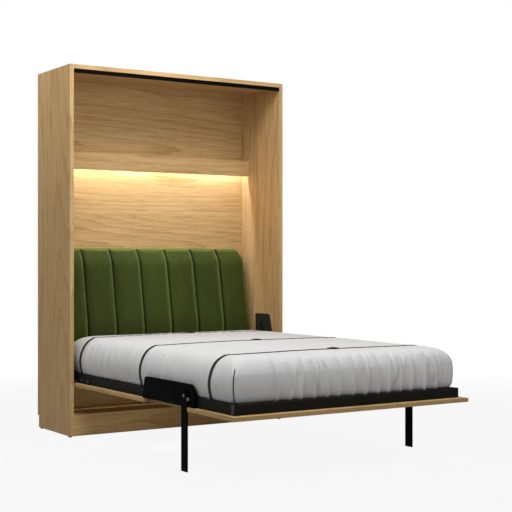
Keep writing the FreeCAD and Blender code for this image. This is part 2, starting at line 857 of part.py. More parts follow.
def hinge_fittings():
    screws = []
    pins = []
    bolts = []
    stubs = []
    bushes = []
    for name, side in SIDES:
        for y, z in bracket_screw_places():
            start, length = span(side, bracket_inner - named["screw_head_height"], bracket_inner)
            screws.append(rod_x("bracket_screw", start, y, z, named["screw_head_radius"], length))
        boss_inner = arm_outer + named["boss_end_gap"]
        start, length = span(side, boss_inner, bracket_inner)
        running = named["pivot_pin_radius"] + named["pin_clearance"]
        sleeve = rod_x("bush_sleeve", start, pivot_y, pivot_height, running + named["bush_wall"], length)
        bore = rod_x("bush_bore", start, pivot_y, pivot_height, running, length)
        bush = doc.addObject("Part::Cut", "pivot_bush")
        bush.Base = sleeve
        bush.Tool = bore
        bushes.append(bush)
        start, length = span(side, frame_half, bracket_inner - named["boss_end_gap"])
        pins.append(rod_x("pivot_pin", start, pivot_y, pivot_height, named["pivot_pin_radius"], length))
        bolt_z = door_top + named["arm_bolt_height"]
        for distance in (-named["arm_bolt_first"], -named["arm_bolt_second"], named["arm_bolt_rear"]):
            start, length = span(side, arm_outer, arm_outer + named["arm_bolt_head"])
            bolts.append(rod_x("arm_bolt", start, front + distance, bolt_z, named["arm_bolt_radius"], length))
        stub_outer = strut_centre - named["strut_eye_width"] / 2 - named["open_pivot_clearance"]
        start, length = span(side, arm_outer, stub_outer)
        stubs.append(rod_x("strut_stub", start, lever_y, lever_z, named["stub_radius"], length))
    group("bracket_screws", screws)
    group("pivot_bushes", bushes)
    group("pivot_pins", pins)
    group("arm_bolts", bolts)
    group("strut_stubs", stubs)


def swing_arm(name, side):
    """The plate on the side rail that turns on the pivot pin and pushes on the strut."""
    body = body_named(f"swing_arm_{name}")
    start, length = span(side, frame_half, arm_outer)
    outline = rectangle((front - named["arm_front"], door_top), (front + named["arm_rear"], rail_top))
    pad(body, "YZ_Plane", start, length, [outline])
    lobe = named["boss_radius"]
    pad(body, "YZ_Plane", start, length, [], [((pivot_y, pivot_height), lobe)])
    reach = named["overrun"]
    hole = [((pivot_y, pivot_height), named["pivot_pin_radius"])]
    pocket(body, "YZ_Plane", start - reach, length + reach * 2, [], hole)
    edges = named["bracket_corner_radius"]
    fillet(body, edges, lambda edge: along(edge, 0) and near(edge.Vertexes[0].Z, rail_top))


def strut_turn():
    """The strut's lean from upright at rest, in degrees, and its length between its eyes."""
    run = lever_y.value - strut_top_y.value
    drop = strut_top_z.value - lever_z.value
    return math.degrees(math.atan2(run, drop)), math.hypot(run, drop)


def lower_eye():
    """The lower eye's height on the strut's own upright, which starts at the upper eye."""
    run = strut_top_y - lever_y
    drop = strut_top_z - lever_z
    lean, reach = strut_turn()
    return Size(f"(-sqrt({run.text} ^ 2 + {drop.text} ^ 2))", -reach)


def lean_strut(item, side):
    """Hang an upright strut piece from the upper eye at the strut's lean."""
    lean, reach = strut_turn()
    item.Placement = FreeCAD.Placement(FreeCAD.Vector(), FreeCAD.Rotation(FreeCAD.Vector(1, 0, 0), lean))
    move(item, strut_centre * side, strut_top_y, strut_top_z)


def strut_cylinder(name, side):
    """The gas strut's tube with its upper eye, hung at the origin and then leaned."""
    body = body_named(f"strut_cylinder_{name}")
    eye = named["strut_eye_radius"]
    mouth = -lower_eye() - named["strut_mouth_gap"]
    width = named["strut_eye_width"]
    tube = named["strut_radius"]
    bore = tube - named["strut_wall"]
    pad(body, "YZ_Plane", -width / 2, width, [], [((zero, zero), eye)])
    neck = named["strut_eye_radius"] + named["strut_wall"]
    pad(body, "XY_Plane", -neck, neck - eye / 2, [], [((zero, zero), named["rod_radius"])])
    pad(body, "XY_Plane", -mouth, mouth - neck, [], [((zero, zero), tube)])
    floor = neck + named["strut_floor"]
    lip = named["strut_lip"]
    pocket(body, "XY_Plane", -(mouth - lip), mouth - lip - floor, [], [((zero, zero), bore)])
    rod_bore = named["rod_radius"] + named["pin_clearance"]
    reach = named["overrun"]
    pocket(body, "XY_Plane", -(mouth + reach), lip + reach * 2, [], [((zero, zero), rod_bore)])
    hole = named["strut_pin_radius"] + named["pin_clearance"]
    pocket(body, "YZ_Plane", -width, width * 2, [], [((zero, zero), hole)])
    lean_strut(body, side)


def strut_rod(name, side):
    """The gas strut's rod with its piston and its lower eye."""
    body = body_named(f"strut_rod_{name}")
    eye_z = lower_eye()
    length = -eye_z - named["rod_head_gap"]
    eye = named["strut_eye_radius"]
    width = named["strut_eye_width"]
    pad(body, "YZ_Plane", -width / 2, width, [], [((zero, eye_z), eye)])
    pad(body, "XY_Plane", eye_z, length, [], [((zero, zero), named["rod_radius"])])
    piston = named["strut_radius"] - named["strut_wall"] - named["rod_piston_clearance"]
    piston_low = eye_z + length - named["rod_piston_height"]
    pad(body, "XY_Plane", piston_low, named["rod_piston_height"], [], [((zero, zero), piston)])
    lean_strut(body, side)


# Legs

def leg_bracket(name, side):
    """A pressed channel on the side rail, open to the inside, with a round front shoulder."""
    body = body_named(f"leg_bracket_{name}")
    depth = named["leg_bracket_depth"]
    wall = named["leg_bracket_wall"]
    start, length = span(side, leg_web - depth, leg_web)
    rear = leg_notch_rear + named["leg_bracket_overlap"]
    rear_low = rear + named["leg_bracket_slant"]
    end = leg_y - named["leg_bracket_front"]
    top = rail_top + named["leg_bracket_rise"]
    pad(body, "YZ_Plane", start, length, [[(rear_low, door_top), (rear, top), (end, top), (end, door_top)]])
    reach = named["overrun"]
    hollow_start, hollow_length = span(side, leg_web - depth - reach, leg_web - wall)
    inner_top = top - wall
    inner_rear = rear - wall
    inner_end = end + wall
    inner = [
        (rear_low - wall, door_top + wall),
        (inner_rear, inner_top),
        (inner_end, inner_top),
        (inner_end, door_top + wall),
    ]
    pocket(body, "YZ_Plane", hollow_start, hollow_length, [inner])
    corners = [
        (named["leg_bracket_rear_radius"] - wall, inner_rear, inner_top),
        (named["leg_bracket_front_radius"] - wall, inner_end, inner_top),
        (named["leg_bracket_rear_radius"], rear, top),
        (named["leg_bracket_front_radius"], end, top),
    ]
    for radius, place_y, place_z in corners:
        fillet(body, radius,
               lambda edge: along(edge, 0) and near(edge.Vertexes[0].Z, place_z)
               and near(edge.Vertexes[0].Y, place_y))
    # Two spacers carry the channel on the rail
    spacer_start, spacer_length = span(side, frame_half, leg_web - wall)
    inset = named["leg_spacer_inset"]
    long = named["leg_spacer_length"]
    spacers = []
    for low_y in (rear - inset - long, end + inset):
        spacers.append(rectangle((low_y, door_top + wall), (low_y + long, rail_top - wall)))
    pad(body, "YZ_Plane", spacer_start, spacer_length, spacers)


def leg(name, side):
    """A flat bar with a rounded head on its pivot bolt."""
    body = body_named(f"leg_{name}")
    start, length = span(side, leg_inner, leg_outer)
    half = named["leg_width"] / 2
    pivot = leg_pivot
    outline = rectangle((leg_y - half, named["leg_pad_height"]), (leg_y + half, pivot))
    pad(body, "YZ_Plane", start, length, [outline])
    pad(body, "YZ_Plane", start, length, [], [((leg_y, pivot), half)])
    reach = named["overrun"]
    hole = named["leg_bolt_radius"] + named["pin_clearance"]
    pocket(body, "YZ_Plane", start - reach, length + reach * 2, [], [((leg_y, pivot), hole)])
    low = (start, leg_y - half, zero)
    high = (start + length, leg_y + half, named["leg_pad_height"])
    keep(box(f"leg_pad_{name}", low, high), f"leg_pad_{name}")


def leg_bolts():
    items = []
    for name, side in SIDES:
        under_head = leg_outer + named["stop_gap"]
        start, length = span(side, leg_web, under_head)
        shank = rod_x("leg_bolt_shank", start, leg_y, leg_pivot, named["leg_bolt_radius"], length)
        start, length = span(side, under_head, leg_outer + named["leg_bolt_head"])
        head = rod_x("leg_bolt_head", start, leg_y, leg_pivot, named["leg_bolt_head_radius"], length)
        bolt = doc.addObject("Part::MultiFuse", "leg_bolt")
        bolt.Shapes = [shank, head]
        items.append(bolt)
        stop_y = leg_y - named["leg_width"] / 2 - named["stop_bolt_radius"] - named["stop_gap"]
        stop_z = leg_pivot - named["stop_bolt_drop"]
        stop_start, stop_length = span(side, leg_web, leg_outer)
        items.append(rod_x("stop_bolt", stop_start, stop_y, stop_z, named["stop_bolt_radius"], stop_length))
    group("leg_bolts", items)


# Mattress and straps

def rounding_drop(radius, distance):
    """How far a quarter-round edge lies below its flat at a distance from the end face."""
    short = max(radius - distance, 0)
    return radius - math.sqrt(radius ** 2 - short ** 2)


def mattress_section(y, distance=None, outset=0):
    """A cross-section with a crowned top, rounded shoulders and softly bulged sides.

    Near an end face, at the given distance from it, the top, sides and underside are drawn in.
    """
    shoulder = named["mattress_shoulder"].value
    skirt = named["mattress_skirt_radius"].value
    radii = (named["mattress_corner_radius"].value, skirt, shoulder)
    if distance is None:
        distance = shoulder
    side_inset, low_inset, top_inset = (rounding_drop(radius, distance) for radius in radii)
    half = named["mattress_width"].value / 2 - side_inset + outset
    low = mattress_low.value + low_inset - outset
    side_top = mattress_low.value + named["mattress_side_height"].value - top_inset + outset
    crown = named["mattress_crown"].value
    bulge = named["mattress_bulge"].value
    shoulder += outset - top_inset / 2
    skirt += outset - low_inset / 2
    diagonal = 1 - math.sqrt(0.5)

    def at(x, z):
        return FreeCAD.Vector(x, y, z)

    edges = []
    edges.append(Part.makeLine(at(-half + skirt, low), at(half - skirt, low)))
    for sign in (1, -1):
        skirt_mid = at(sign * (half - skirt * diagonal), low + skirt * diagonal)
        side_mid = at(sign * (half + bulge), (low + skirt + side_top - shoulder) / 2)
        shoulder_mid = at(sign * (half - shoulder * diagonal), side_top - shoulder * diagonal)
        run = [
            (at(sign * (half - skirt), low), skirt_mid, at(sign * half, low + skirt)),
            (at(sign * half, low + skirt), side_mid, at(sign * half, side_top - shoulder)),
            (at(sign * half, side_top - shoulder), shoulder_mid, at(sign * (half - shoulder), side_top)),
        ]
        arcs = [Part.Arc(*points).toShape() for points in run]
        if sign > 0:
            edges.extend(arcs)
            flat = half - shoulder
            top = Part.Arc(at(flat, side_top), at(0, side_top + crown), at(-flat, side_top))
            edges.append(top.toShape())
        else:
            edges.extend(reversed(arcs))
    return Part.Wire(Part.__sortEdges__(edges))


def mattress():
    """Six sections round each end, and the same section all along between them."""
    foot = mattress_foot.value
    head = mattress_head.value
    distances = [named["mattress_shoulder"].value * share for share in END_SHARES]
    wires = [mattress_section(foot + distance, distance) for distance in distances]
    wires += [mattress_section(head - distance, distance) for distance in reversed(distances)]
    solid = doc.addObject("Part::Feature", "mattress")
    solid.Shape = Part.makeLoft(wires, True, True)
    keep(solid, "mattress")


def strap(label, middle):
    """An elastic strap over the mattress, from anchor to anchor."""
    gap = named["strap_gap"].value
    thickness = named["strap_thickness"].value
    width = named["strap_width"].value
    low_y = middle.value - width / 2
    solids = []
    for offset in (gap + thickness, gap):
        face = Part.Face(mattress_section(low_y, outset=offset))
        solids.append(face.extrude(FreeCAD.Vector(0, width, 0)))
    low_z = rail_top.value + named["anchor_height"].value + gap
    room = half_width.value * 2
    above = Part.makeBox(room, room, room, FreeCAD.Vector(-room / 2, low_y - room / 2, low_z))
    ring = solids[0].cut(solids[1]).common(above)
    item = doc.addObject("Part::Feature", label)
    item.Shape = ring.Solids[0]
    keep(item, label)


def strap_fittings(middles):
    """A ladder buckle on each strap, and a flat anchor on the rail at each end."""
    buckles = []
    anchors = []
    top = mattress_low + named["mattress_side_height"] + named["mattress_crown"] + named["strap_gap"]
    low_z = top + named["strap_thickness"] + named["strap_gap"]
    for middle in middles:
        low = (named["buckle_centre"] - named["buckle_length"] / 2, middle - named["buckle_width"] / 2, low_z)
        high = (
            named["buckle_centre"] + named["buckle_length"] / 2,
            middle + named["buckle_width"] / 2,
            low_z + named["buckle_height"],
        )
        block = box("buckle_block", low, high)
        bar = named["buckle_bar_width"]
        rooms = []
        opening = (named["buckle_length"] - bar * 3) / 2
        for index in range(2):
            room_x = low[0] + bar + (opening + bar) * index
            room_low = (room_x, low[1] + bar / 2, low_z - bar)
            room_high = (room_x + opening, high[1] - bar / 2, high[2] + bar)
            rooms.append(box("buckle_room", room_low, room_high))
        both = doc.addObject("Part::MultiFuse", "buckle_rooms")
        both.Shapes = rooms
        buckle = doc.addObject("Part::Cut", "buckle")
        buckle.Base = block
        buckle.Tool = both
        buckles.append(buckle)
        half = named["anchor_length"] / 2
        for side in (-1, 1):
            start, length = span(side, frame_half - named["anchor_width"], frame_half)
            high = (start + length, middle + half, rail_top + named["anchor_height"])
            anchors.append(box("strap_anchor", (start, middle - half, rail_top), high))
    group("strap_buckles", buckles)
    group("strap_anchors", anchors)


cabinet()
top_strip()
shelf()
ledge()
headboard()
door()
frame()
slats()
door_screws()
for name, side in SIDES:
    hinge_bracket(name, side)
    swing_arm(name, side)
    strut_cylinder(name, side)
    strut_rod(name, side)
    leg_bracket(name, side)
    leg(name, side)
hinge_fittings()
leg_bolts()
mattress()
strap_places = {
    "strap_head": mattress_head - named["strap_head_inset"],
    "strap_middle": (mattress_foot + mattress_head) / 2 - named["strap_middle_shift"],
    "strap_foot": mattress_foot + named["strap_foot_inset"],
}
for label, place in strap_places.items():
    strap(label, place)
strap_fittings(list(strap_places.values()))
doc.recompute()

os.makedirs("parts", exist_ok=True)
for item in doc.Objects:
    if "Invalid" in item.State or "Error" in item.State:
        raise RuntimeError(f"{item.Label} did not build: {item.State}")
for item in parts:
    shape = item.Shape
    if shape.isNull() or not shape.isValid():
        raise RuntimeError(f"{item.Label} has no valid shape")
    shape.exportStep(f"parts/{item.Label}.step")
lean, reach = strut_turn()
print(f"{len(parts)} nodes, strut leans {lean:.2f} degrees and is {reach:.1f} mm long")
print(f"front {front.value:.2f}, pivot y {pivot_y.value:.2f}, pivot z {pivot_height.value:.2f}")
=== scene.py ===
"""Looks of an upright wall bed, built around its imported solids."""

import bisect
import json
import math
import random

import bpy
from bpy.props import FloatProperty, FloatVectorProperty, PointerProperty
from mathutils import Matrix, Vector, noise

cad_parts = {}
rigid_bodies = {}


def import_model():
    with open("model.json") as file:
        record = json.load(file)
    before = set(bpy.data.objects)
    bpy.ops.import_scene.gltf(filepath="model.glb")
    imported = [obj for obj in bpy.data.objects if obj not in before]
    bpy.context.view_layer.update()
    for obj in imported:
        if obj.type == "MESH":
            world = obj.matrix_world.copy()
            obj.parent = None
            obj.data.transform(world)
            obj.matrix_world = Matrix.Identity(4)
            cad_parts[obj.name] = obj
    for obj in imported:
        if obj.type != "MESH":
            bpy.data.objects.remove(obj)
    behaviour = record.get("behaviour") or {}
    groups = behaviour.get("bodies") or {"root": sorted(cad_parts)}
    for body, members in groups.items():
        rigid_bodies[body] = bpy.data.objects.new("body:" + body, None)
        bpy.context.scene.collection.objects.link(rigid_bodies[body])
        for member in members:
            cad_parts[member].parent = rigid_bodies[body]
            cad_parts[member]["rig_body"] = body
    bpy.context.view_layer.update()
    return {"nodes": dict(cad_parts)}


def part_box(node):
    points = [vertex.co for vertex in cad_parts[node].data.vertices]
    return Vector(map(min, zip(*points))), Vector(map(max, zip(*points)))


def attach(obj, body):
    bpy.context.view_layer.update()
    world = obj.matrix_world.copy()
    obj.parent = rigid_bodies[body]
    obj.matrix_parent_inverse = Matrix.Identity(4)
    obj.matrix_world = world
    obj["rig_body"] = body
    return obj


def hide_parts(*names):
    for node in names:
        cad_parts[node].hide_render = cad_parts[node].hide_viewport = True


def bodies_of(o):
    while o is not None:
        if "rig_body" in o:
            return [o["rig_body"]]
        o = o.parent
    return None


bl_info = {
    "name": "Wall Bed Looks",
    "version": (1, 0, 0),
    "blender": (4, 5, 0),
    "location": "3D View > Sidebar > Wall Bed",
    "description": "Dresses an upright wall bed with oak, velvet, cloth, steel and light",
    "category": "Object",
}

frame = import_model()


# Material nodes

class Value:
    """A number socket of a material that takes Python arithmetic."""

    def __init__(self, finish, socket):
        self.finish = finish
        self.socket = socket

    def math(self, operation, *others, clamp=False):
        inputs = dict(enumerate((self, *others)))
        return self.finish.make("ShaderNodeMath", inputs, operation=operation, use_clamp=clamp)

    def __add__(self, other):
        return self.math("ADD", other)

    __radd__ = __add__

    def __sub__(self, other):
        return self.math("SUBTRACT", other)

    def __rsub__(self, other):
        return (self * -1.0) + other

    def __mul__(self, other):
        return self.math("MULTIPLY", other)

    def __truediv__(self, other):
        return self.math("DIVIDE", other)

    def clamped(self):
        return self.math("ADD", 0.0, clamp=True)

    def fraction(self):
        return self.math("FRACT")

    def waves(self, pitch):
        return (self * (math.tau / pitch)).math("SINE")

    def most(self, other):
        return self.math("MAXIMUM", other)

    def step(self, low, high):
        """0 below low and 1 above high, smooth between them."""
        inputs = {0: self, 1: low, 2: high, 3: 0.0, 4: 1.0}
        return self.finish.make("ShaderNodeMapRange", inputs, interpolation_type="SMOOTHSTEP", clamp=True)


class Finish:
    """The nodes of one material, or of the world."""

    def __init__(self, name, kind="materials"):
        self.owner = getattr(bpy.data, kind).new(name)
        self.owner.use_nodes = True
        self.tree = self.owner.node_tree
        self.tree.nodes.clear()

    def make(self, kind, inputs=None, output=0, **fields):
        """Add a node, set its fields, feed its sockets and give one of its outputs."""
        node = self.tree.nodes.new(kind)
        for key, value in fields.items():
            setattr(node, key, value)
        for key, value in (inputs or {}).items():
            if isinstance(value, Value):
                self.tree.links.new(value.socket, node.inputs[key])
            elif value is not None:
                node.inputs[key].default_value = value
        return Value(self, node.outputs[output])

    def place(self, scale=(1.0, 1.0, 1.0), shift=(0.0, 0.0, 0.0)):
        """Object coordinates in metres, stretched and shifted."""
        here = self.make("ShaderNodeTexCoord", output="Object")
        return self.make("ShaderNodeMapping", {"Vector": here, "Scale": scale, "Location": shift})

    def grain(self, along, across, length, shift=(0.0, 0.0, 0.0)):
        """Object coordinates with one scale across a grain and another along its axis."""
        scale = [across] * 3
        scale[along] = length
        return self.place(tuple(scale), shift)

    def axis(self, index):
        """One object coordinate."""
        here = self.make("ShaderNodeTexCoord", output="Object")
        return self.make("ShaderNodeSeparateXYZ", {0: here}, index)

    def attribute(self, name):
        return self.make("ShaderNodeAttribute", output="Fac", attribute_name=name)

    def ray(self, kind):
        return self.make("ShaderNodeLightPath", output=f"Is {kind} Ray")

    def noise(self, place, scale=1.0, detail=2.0, roughness=0.5, distortion=0.0):
        inputs = {"Vector": place, "Scale": scale, "Detail": detail, "Roughness": roughness,
                  "Distortion": distortion}
        return self.make("ShaderNodeTexNoise", inputs)

    def mix(self, factor, first, second):
        """Colours mixed by a factor; each is a colour or a socket."""
        first, second = (item if isinstance(item, Value) else (*item, 1.0) for item in (first, second))
        inputs = {0: factor, 6: first, 7: second}
        return self.make("ShaderNodeMix", inputs, 2, data_type="RGBA", clamp_result=False)

    def round_edges(self, radius):
        return self.make("ShaderNodeBevel", {"Radius": radius}, samples=4)

    def bump(self, height, distance, strength, normal=None):
        inputs = {"Height": height, "Distance": distance, "Strength": strength, "Normal": normal}
        return self.make("ShaderNodeBump", inputs)

    def finish(self, colour, rough, normal=None, **sockets):
        """The surface. A key is a Principled socket's name with _ for a space."""
        sockets.update(Base_Color=colour, Roughness=rough, Normal=normal)
        inputs = {}
        for key, value in sockets.items():
            inputs[key.replace("_", " ")] = (*value, 1.0) if isinstance(value, tuple) else value
        return self.output(self.make("ShaderNodeBsdfPrincipled", inputs))

    def output(self, surface, kind="ShaderNodeOutputMaterial"):
        """Join the last shader to the output, and give the material or world."""
        last = self.tree.nodes.new(kind)
        self.tree.links.new(surface.socket, last.inputs["Surface"])
        return self.owner


# Finishes

# The oak's colours, growth rings and pores, the lamp cover's glow, and the pitch of each pattern in metres
OAK_LIGHT = (0.62, 0.415, 0.195)
OAK_DARK = (0.36, 0.205, 0.074)
OAK_PORE = (0.19, 0.10, 0.033)
OAK_RINGS = 24.0
PORE_EDGE = (0.60, 0.72)
COVER_GLOW = 4.0
DIODE_PITCH = 0.0167
THREAD_PITCH = 0.0011
RIB_PITCH = 0.0022
CORD_PITCH = 0.0018
WHITE = (1.0, 1.0, 1.0, 1.0)


def shade(colour, factor):
    """A colour made darker or lighter."""
    return tuple(factor * part for part in colour)


def oak(name, along, shift, figure=1.0, depth=1.0):
    """Oak veneer with its grain along one axis: growth rings, streaks, fibres and pores."""
    f = Finish(name)

    def grain(across, length, detail, roughness):
        return f.noise(f.grain(along, across, length, shift), 1.0, detail, roughness)

    field = grain(1.9, 0.17, 1.5, 0.45)
    wobble = grain(30.0, 2.2, 2.0, 0.55)
    rings = (field * (OAK_RINGS * figure) + wobble * 0.7).fraction()
    late = rings * rings * rings
    streak = grain(150.0, 3.4, 3.0, 0.65)
    fibre = grain(420.0, 9.0, 2.0, 0.55)
    pore = grain(680.0, 26.0, 1.0, 0.5).step(*PORE_EDGE)
    dash = grain(190.0, 11.0, 2.0, 0.5).step(*PORE_EDGE)
    broad = grain(3.4, 0.6, 2.0, 0.55)
    mask = late * (0.38 * depth) + (streak - 0.5) * (1.8 * depth) + (fibre - 0.5) * 1.1
    mask = (mask + (broad - 0.5) * 0.5 + dash * 0.3 + 0.18).clamped()
    tone = f.mix(mask, OAK_LIGHT, OAK_DARK)
    colour = f.mix(pore * 0.4, tone, OAK_PORE)
    rough = 0.44 + fibre * 0.12 + pore * 0.12
    normal = f.bump(fibre * 0.4 - pore, 0.00025, 0.6, f.round_edges(0.0012))
    return f.finish(colour, rough, normal, Specular_IOR_Level=0.08)


def coated_steel(name, colour, rough=0.55):
    """Powder-coated steel: fine orange peel and slightly paler clouds."""
    f = Finish(name)
    peel = f.noise(f.place(), 900.0, 2.0, 0.6)
    cloud = f.noise(f.place(), 14.0, 2.0, 0.55)
    tone = f.mix((cloud - 0.35) * 0.9, colour, shade(colour, 1.7))
    normal = f.bump(peel, 0.00006, 0.5, f.round_edges(0.0015))
    return f.finish(tone, rough + (cloud - 0.5) * 0.16, normal, Specular_IOR_Level=0.025)


def bare_metal(name, colour, rough, brushed=0.0):
    """Zinc, brass, aluminium or polished steel, brushed along X."""
    f = Finish(name)
    lines = f.noise(f.grain(0, 600.0, 12.0))
    cloud = f.noise(f.place(), 60.0)
    tone = f.mix(cloud * 0.5, colour, shade(colour, 0.72))
    roughness = rough + (lines - 0.5) * brushed + (cloud - 0.5) * 0.1
    normal = f.bump(lines, 0.00003, 0.4, f.round_edges(0.0006))
    return f.finish(tone, roughness, normal, Metallic=1.0)


def moulded(name, colour, rough):
    """Moulded plastic or rubber with a fine spark-eroded grain."""
    f = Finish(name)
    skin = f.noise(f.place(), 1400.0, 2.0, 0.6)
    cloud = f.noise(f.place(), 25.0, 1.0)
    paler = tuple(1.6 * part + 0.003 for part in colour)
    tone = f.mix(cloud * 0.6, colour, paler)
    normal = f.bump(skin, 0.00008, 0.5, f.round_edges(0.0008))
    return f.finish(tone, rough + (skin - 0.5) * 0.1, normal, Specular_IOR_Level=0.35)


def plain_wood(name, light, dark, ply):
    """Beech or plywood: fine even fibres along X, with the plies' lines on the edges."""
    f = Finish(name)
    fibre = f.noise(f.grain(0, 260.0, 6.0), 1.0, 2.0, 0.55)
    broad = f.noise(f.grain(0, 9.0, 0.7))
    mask = (fibre - 0.5) * 0.7 + (broad - 0.5) * 0.8 + 0.4 + f.axis(2).waves(ply) * 0.12
    tone = f.mix(mask.clamped(), light, dark)
    normal = f.bump(fibre, 0.00015, 0.5, f.round_edges(0.001))
    return f.finish(tone, 0.5 + fibre * 0.15, normal)


def lamp_cover(name, colour):
    """The milky cover, lit from behind by the lamp strip's diodes."""
    f = Finish(name)
    spot = f.axis(0).waves(DIODE_PITCH) * 0.06 + 0.94
    glow = f.mix(spot, shade(colour, 0.8), colour)
    return f.finish((0.9, 0.86, 0.78), 0.4, Emission_Color=glow, Emission_Strength=COVER_GLOW)


def lamp_board(name):
    """The lamp strip's white board with its diodes and copper pads."""
    f = Finish(name)
    away = ((f.axis(0) / DIODE_PITCH).fraction() - 0.5).math("ABSOLUTE")
    diode = 1.0 - away.step(0.10, 0.12)
    pad = 1.0 - away.step(0.20, 0.22)
    tone = f.mix(pad, (0.82, 0.80, 0.74), (0.66, 0.42, 0.2))
    tone = f.mix(diode, tone, (0.95, 0.75, 0.25))
    return f.finish(tone, 0.45)


def velvet(name, colour, seams=True):
    """Short-pile velvet: a soft edge sheen, brushed patches, a fine pile, and where asked a painted shade
    beside the seams and a painted highlight along the top edge.
    """
    f = Finish(name)
    brushed = f.noise(f.place((3.0, 3.0, 1.6)), 1.0, 3.0, 0.6, 0.4)
    patch = f.noise(f.place((13.0, 13.0, 6.0)), 1.0, 2.0, 0.55)
    pile = f.noise(f.place(), 1500.0, 2.0, 0.6)
    mask = ((brushed - 0.5) * 1.5 + (patch - 0.5) * 0.5 + (pile - 0.5) * 0.5 + 0.5).clamped()
    tone = f.mix(mask, shade(colour, 0.72), shade(colour, 1.32))
    if seams:
        # A painted highlight along the top edge, where the shelf light and the pile's sheen catch it
        tone = f.mix(f.attribute("rim"), tone, shade(colour, 2.5))
        # Painted shade in and beside each seam's groove, reaching further on the side turned from the light
        tone = f.mix(f.attribute("seam") * 0.9, tone, shade(colour, 0.16))
    normal = f.bump(pile, 0.0005, 0.6)
    tint = tuple(min(1.0, part) for part in shade(colour, 9.0))
    return f.finish(tone, 0.85, normal, Specular_IOR_Level=0.2, Sheen_Weight=0.9, Sheen_Roughness=0.35,
                    Sheen_Tint=tint)


def cotton(name, colour):
    """Plain-woven cotton: crossed threads, slubs and a slight unevenness of tone."""
    f = Finish(name)
    warp, weft, rise = (f.axis(index).waves(THREAD_PITCH) for index in range(3))
    weave = warp * weft + rise * 0.5
    slub = f.noise(f.place((140.0, 900.0, 900.0)))
    cloud = f.noise(f.place(), 5.0)
    mask = ((cloud - 0.5) * 0.9 + (slub - 0.5) * 0.5 + weave * 0.08 + 0.4).clamped()
    tone = f.mix(mask, colour, shade(colour, 0.93))
    crinkle = f.noise(f.place((62.0, 62.0, 10.0)), 1.0, 3.0, 0.6)
    normal = f.bump(weave * 0.5 + slub, 0.00012, 0.5, f.bump(crinkle, 0.0022, 0.5))
    return f.finish(tone, 0.9, normal, Specular_IOR_Level=0.25, Sheen_Weight=0.08, Sheen_Roughness=0.5)


def elastic(name):
    """Woven black elastic with ribs across its run."""
    f = Finish(name)
    fluff = f.noise(f.place(), 1200.0, 2.0, 0.6)
    weave = f.attribute("run").waves(RIB_PITCH) * f.axis(1).waves(CORD_PITCH) * 0.5 + 0.5
    tone = f.mix((weave * 0.6 + fluff * 0.4).clamped(), (0.006, 0.006, 0.006), (0.024, 0.024, 0.023))
    normal = f.bump(weave + fluff * 0.4, 0.0003, 0.6)
    return f.finish(tone, 0.8, normal, Specular_IOR_Level=0.3, Sheen_Weight=0.1, Sheen_Roughness=0.4)


# Objects and shapes

def body_of(node):
    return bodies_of(frame["nodes"][node])[0]


def pick(piece):
    """Make a piece the active one, and the only one selected."""
    bpy.ops.object.select_all(action="DESELECT")
    piece.select_set(True)
    bpy.context.view_layer.objects.active = piece


def store(piece, name, values):
    """Keep a number for each of a piece's points, for its material to read."""
    piece.data.attributes.new(name, "FLOAT", "POINT").data.foreach_set("value", values)


def dress(names, material):
    """Give CAD nodes a finish."""
    for name in names:
        slots = frame["nodes"][name].data.materials
        slots.clear()
        slots.append(material)


def flat_lamp(name, width, depth, power, colour):
    """A rectangular lamp at the origin that shines down."""
    bpy.ops.object.light_add(type="AREA")
    lamp = bpy.context.object
    lamp.name = name
    lamp.data.shape = "RECTANGLE"
    lamp.data.size = width
    lamp.data.size_y = depth
    lamp.data.energy = power
    lamp.data.color = colour
    return lamp


def settings():
    return bpy.context.scene.wall_bed


# Soft pieces

# The mattress's section: shoulder, rounded lower edge, tuck under it, bulge, corner radius and crown
SHOULDER = 0.095
SKIRT = 0.014
TUCK = 0.003
BULGE = 0.008
CORNER = 0.024
CROWN = 0.007
MATTRESS_LOW, MATTRESS_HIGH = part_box("mattress")
MATTRESS_HALF = MATTRESS_HIGH.x - BULGE
TOP_EDGE = MATTRESS_HIGH.z - CROWN
WIDEST = MATTRESS_LOW.z + 0.084
STRAPS = ("strap_head", "strap_middle", "strap_foot")
UP = Vector((0.0, 0.0, 1.0))

# The cover's gathers: spacing and reach, the first one's place and their height at the foot, right, head and
# left, and how much fuller than round the shoulders are
GATHER_STEP = 0.078
GATHER_REACH = 0.11
GATHER_FIRST = (0.232, 0.11, 0.11, 0.11)
GATHER_HEIGHT = (0.0175, 0.0062, 0.0070, 0.0062)
FOOT_FULLNESS = 0.0030
SHOULDER_FULLNESS = 0.0095

# A fold's long and steep rise, its short fall and the valley beside it
FOLD_LONG, FOLD_STEEP, FOLD_FALL = 0.030, 0.0085, 0.0105
VALLEY_AWAY, VALLEY_WIDE = 0.026, 0.014

# The groove along each corner's seam, the welt beside it, and the foam's broad and fine unevenness
GROOVE_DEEP, GROOVE_WIDE = 0.0026, 0.0045
WELT_HIGH, WELT_AWAY, WELT_WIDE = 0.0014, 0.011, 0.007
BROAD_HIGH, FINE_HIGH = 0.0016, 0.0007

# The straps, the dents they press, the puckers beside them and their slides
STRAP_HALF = 0.0125
STRAP_THICKNESS = 0.0020
STRAP_SPREAD = 0.021
STRAP_DENT = 0.0040
STRAP_CLEAR = 0.0003
PUCKER_PITCH = 0.058
BAND_RING = ((-1.0, 0.0), (-0.96, 0.4), (-0.8, 0.5), (0.8, 0.5), (0.96, 0.4), (1.0, 0.0),
             (0.96, -0.4), (0.8, -0.5), (-0.8, -0.5), (-0.96, -0.4))
SLIDE_LONG, SLIDE_WIDE, SLIDE_THICK = 0.052, 0.030, 0.0036
SLIDE_BAR = 0.0055
SLIDE_RAIL = 0.003
SLIDE_CLEAR = 0.0009
LOOP_LONG = 0.032
LOOP_RISE = 0.0048

# The dark cords at the mattress's corners, thick enough that they also stand for the shade in each seam's
# groove, as painted shade
CORD_RADIUS = 0.0026
CORD_PROUD = 0.0016
CORD_LOW, CORD_RUN = 0.035, 0.625
CORD_SIDES = 8

